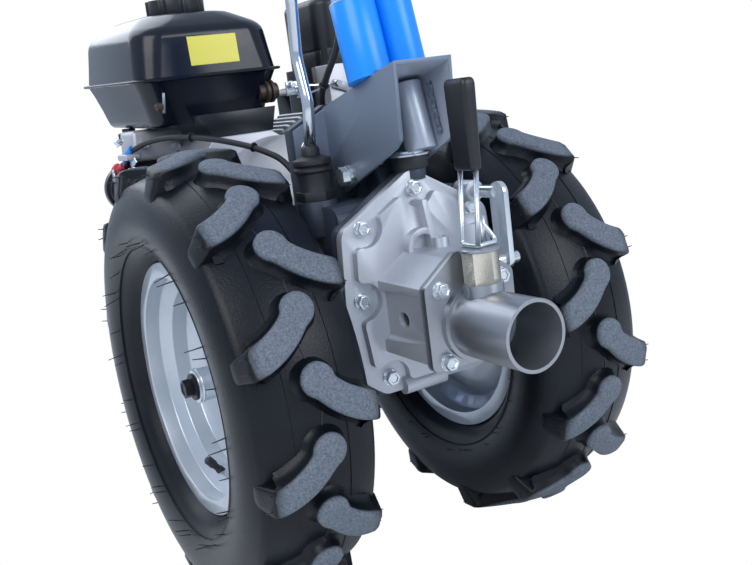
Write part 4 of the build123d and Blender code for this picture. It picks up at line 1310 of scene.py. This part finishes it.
def stand_pieces():
    """Spring at the stand's pin, and the rubber caps on its foot, cut flat on the ground."""
    pin = (STAND_X, 40, STAND_Z)
    arm = tube([near(pin, -9, 12), near(pin, -12, 16, -16), near(pin, -10, 17, -34)], 1.4, 8, 5)
    piece("stand_spring", [coil(pin, LEFT, 9.5, 1.4, 6, 12), arm], "turned_steel", "stand", "zinc")
    caps = []
    for sign in (1, -1):
        profile = [(0, 0), (9.4, 0), (9.4, 22), (0, 22)]
        cap = turned(profile, (STAND_X - 34, sign * 71, FOOT_Z), (0, -sign, 0), 24)
        cut = bmesh.ops.bisect_plane(
            cap, geom=cap.verts[:] + cap.edges[:] + cap.faces[:], plane_co=(0, 0, GROUND + 0.1),
            plane_no=DOWN, clear_outer=True,
        )
        rim = [item for item in cut["geom_cut"] if isinstance(item, bmesh.types.BMEdge)]
        bmesh.ops.holes_fill(cap, edges=rim)
        caps.append(cap)
    piece("stand_feet", caps, "soft_rubber", "stand", "rubber_black")


# Place and direction of each clip along the two cables
CABLE_CLIPS = (
    ((-102.5, 22.4, 385), (-0.2, 0, 1)), ((-64, 30, 300), (0.6, -0.1, -0.6)),
    ((134, 113, 262), (1, 0.3, 0)), ((38, 76, 243), (1, 0.35, 0.3)),
)


class TILLER_OT_controls(bpy.types.Operator):
    """Hand grips, lever sleeves and pivots, the height knob, the stand's spring and its feet"""
    bl_idname = "tiller.controls"
    bl_label = "Grips, levers and stand"

    def execute(self, context):
        for side, sign in (("left", 1), ("right", -1)):
            hand_grip(side, sign)
            lever_pieces(side, sign)
        height_clamp()
        stand_pieces()
        clips = [ring(place, way, 4.2, 1.5) for place, way in CABLE_CLIPS]
        piece("cable_clips", clips, "black_plastic", slot="rubber_black")
        return {"FINISHED"}


# Nodes that scene.py models itself, so no softened copy stands for them
MODELLED = {"tyre_left", "tyre_right", "grip_left", "grip_right", "fuel_tank", "latch_grip"}
CAP_ROUND = 2.0


class TILLER_OT_castings(bpy.types.Operator):
    """Rounds the edges of the castings, plates and tubes"""
    bl_idname = "tiller.castings"
    bl_label = "Castings and plates"

    def execute(self, context):
        width = context.scene.tiller_sizes.edge_round / MM
        for node in frame["nodes"]:
            if node not in MODELLED:
                soften(node, CAP_ROUND if node == "fuel_cap" else width)
        return {"FINISHED"}


# Name, place in metres, size in metres, power in watts and tint of each soft lamp
LAMPS = (
    ("key_lamp", (-1.6, 2.2, 2.6), 2.2, 58, (1.0, 0.98, 0.96)),
    ("rear_lamp", (-2.6, -1.2, 1.8), 1.6, 40, (0.96, 0.98, 1.0)),
    ("front_lamp", (2.2, 0.5, 2.2), 2.4, 40, (0.9, 0.95, 1.0)),
)
LAMP_TARGET = Vector((0.1, 0, 0.35))
SURROUND, SURROUND_STRENGTH = (0.68, 0.81, 1.0, 1), 0.75
WHITE = (1, 1, 1, 1)
FLOOR_HALF = 12


def shown_white(tree, plain, white):
    """Gives the camera the white shader, and every other ray the plain one."""
    path = add_node(tree, "ShaderNodeLightPath")
    mix = add_node(tree, "ShaderNodeMixShader")
    for place, socket in enumerate((path.outputs["Is Camera Ray"], plain, white)):
        tree.links.new(socket, mix.inputs[place])
    return mix.outputs[0]


def floor_paint():
    """White floor: it bounces light as paper does, and shows pure white to the camera."""
    material, tree, shader = new_material("white_floor", Roughness=0.9)
    shader.inputs["Base Color"].default_value = (0.8, 0.8, 0.8, 1)
    white = add_node(tree, "ShaderNodeEmission", {"Color": WHITE, "Strength": 1.0})
    seen = shown_white(tree, shader.outputs[0], white.outputs[0])
    tree.links.new(seen, tree.nodes["Material Output"].inputs["Surface"])
    return material


def add_floor(scene):
    """Wide flat floor under the wheels."""
    bm = bmesh.new()
    bmesh.ops.create_grid(bm, x_segments=1, y_segments=1, size=FLOOR_HALF)
    mesh = bpy.data.meshes.new("floor")
    bm.to_mesh(mesh)
    bm.free()
    mesh.materials.append(floor_paint())
    floor = bpy.data.objects.new("floor", mesh)
    scene.collection.objects.link(floor)


def world_light(scene):
    """Pale blue surrounding light, seen as white by the camera."""
    world = bpy.data.worlds.new("pale_surround")
    world.use_nodes = True
    scene.world = world
    tree = world.node_tree
    tree.nodes.clear()
    soft = add_node(tree, "ShaderNodeBackground", {"Color": SURROUND, "Strength": SURROUND_STRENGTH})
    white = add_node(tree, "ShaderNodeBackground", {"Color": WHITE, "Strength": 1.0})
    out = add_node(tree, "ShaderNodeOutputWorld")
    tree.links.new(shown_white(tree, soft.outputs[0], white.outputs[0]), out.inputs["Surface"])


def add_lamps(scene):
    """Soft lamps that all face the machine."""
    for name, place, size, power, tint in LAMPS:
        lamp = bpy.data.lights.new(name, "AREA")
        lamp.size = size
        lamp.energy = power
        lamp.color = tint
        stand = bpy.data.objects.new(name, lamp)
        stand.location = place
        stand.rotation_euler = (LAMP_TARGET - Vector(place)).to_track_quat("-Z", "Y").to_euler()
        scene.collection.objects.link(stand)


def add_camera(scene):
    """Camera behind the machine and to its left, rolled as the photo is."""
    camera = bpy.data.cameras.new("camera")
    camera.lens = LENS_MM
    camera.sensor_width = SENSOR_MM
    camera.clip_start = 0.02
    eye = bpy.data.objects.new("camera", camera)
    right, up = Vector(CAMERA_RIGHT), Vector(CAMERA_UP)
    turn = Matrix((right, up, right.cross(up))).transposed().to_4x4()
    eye.matrix_world = Matrix.Translation(at(*CAMERA_PLACE)) @ turn
    scene.collection.objects.link(eye)
    scene.camera = eye


class TILLER_OT_stage(bpy.types.Operator):
    """Floor, lights, world and camera"""
    bl_idname = "tiller.stage"
    bl_label = "Stage"

    def execute(self, context):
        scene = context.scene
        scene.view_settings.view_transform = "Standard"
        add_floor(scene)
        world_light(scene)
        add_lamps(scene)
        add_camera(scene)
        return {"FINISHED"}


class TILLER_PT_panel(bpy.types.Panel):
    """Buttons for every group of pieces"""
    bl_idname = "TILLER_PT_panel"
    bl_label = "Power tiller"
    bl_space_type = "VIEW_3D"
    bl_region_type = "UI"
    bl_category = "Power tiller"

    def draw(self, context):
        layout = self.layout
        for group in (context.scene.tiller_sizes, context.scene.tiller_colours):
            for name in group.__annotations__:
                layout.prop(group, name)
        for operator in OPERATORS:
            layout.operator(operator.bl_idname)


OPERATORS = (
    TILLER_OT_stage, TILLER_OT_tyres, TILLER_OT_castings, TILLER_OT_bolts, TILLER_OT_hubs, TILLER_OT_rear,
    TILLER_OT_engine, TILLER_OT_controls,
)
CLASSES = (TillerSizes, TillerColours, *OPERATORS, TILLER_PT_panel)


def register():
    """Makes the classes and their properties known."""
    for one in CLASSES:
        bpy.utils.register_class(one)
    bpy.types.Scene.tiller_sizes = bpy.props.PointerProperty(type=TillerSizes)
    bpy.types.Scene.tiller_colours = bpy.props.PointerProperty(type=TillerColours)


def unregister():
    """Takes the classes and their properties away again."""
    del bpy.types.Scene.tiller_colours
    del bpy.types.Scene.tiller_sizes
    for one in reversed(CLASSES):
        bpy.utils.unregister_class(one)


def main():
    """Builds every piece in order."""
    register()
    for operator in OPERATORS:
        group, name = operator.bl_idname.split(".")
        getattr(getattr(bpy.ops, group), name)()


if __name__ == "__main__":
    main()
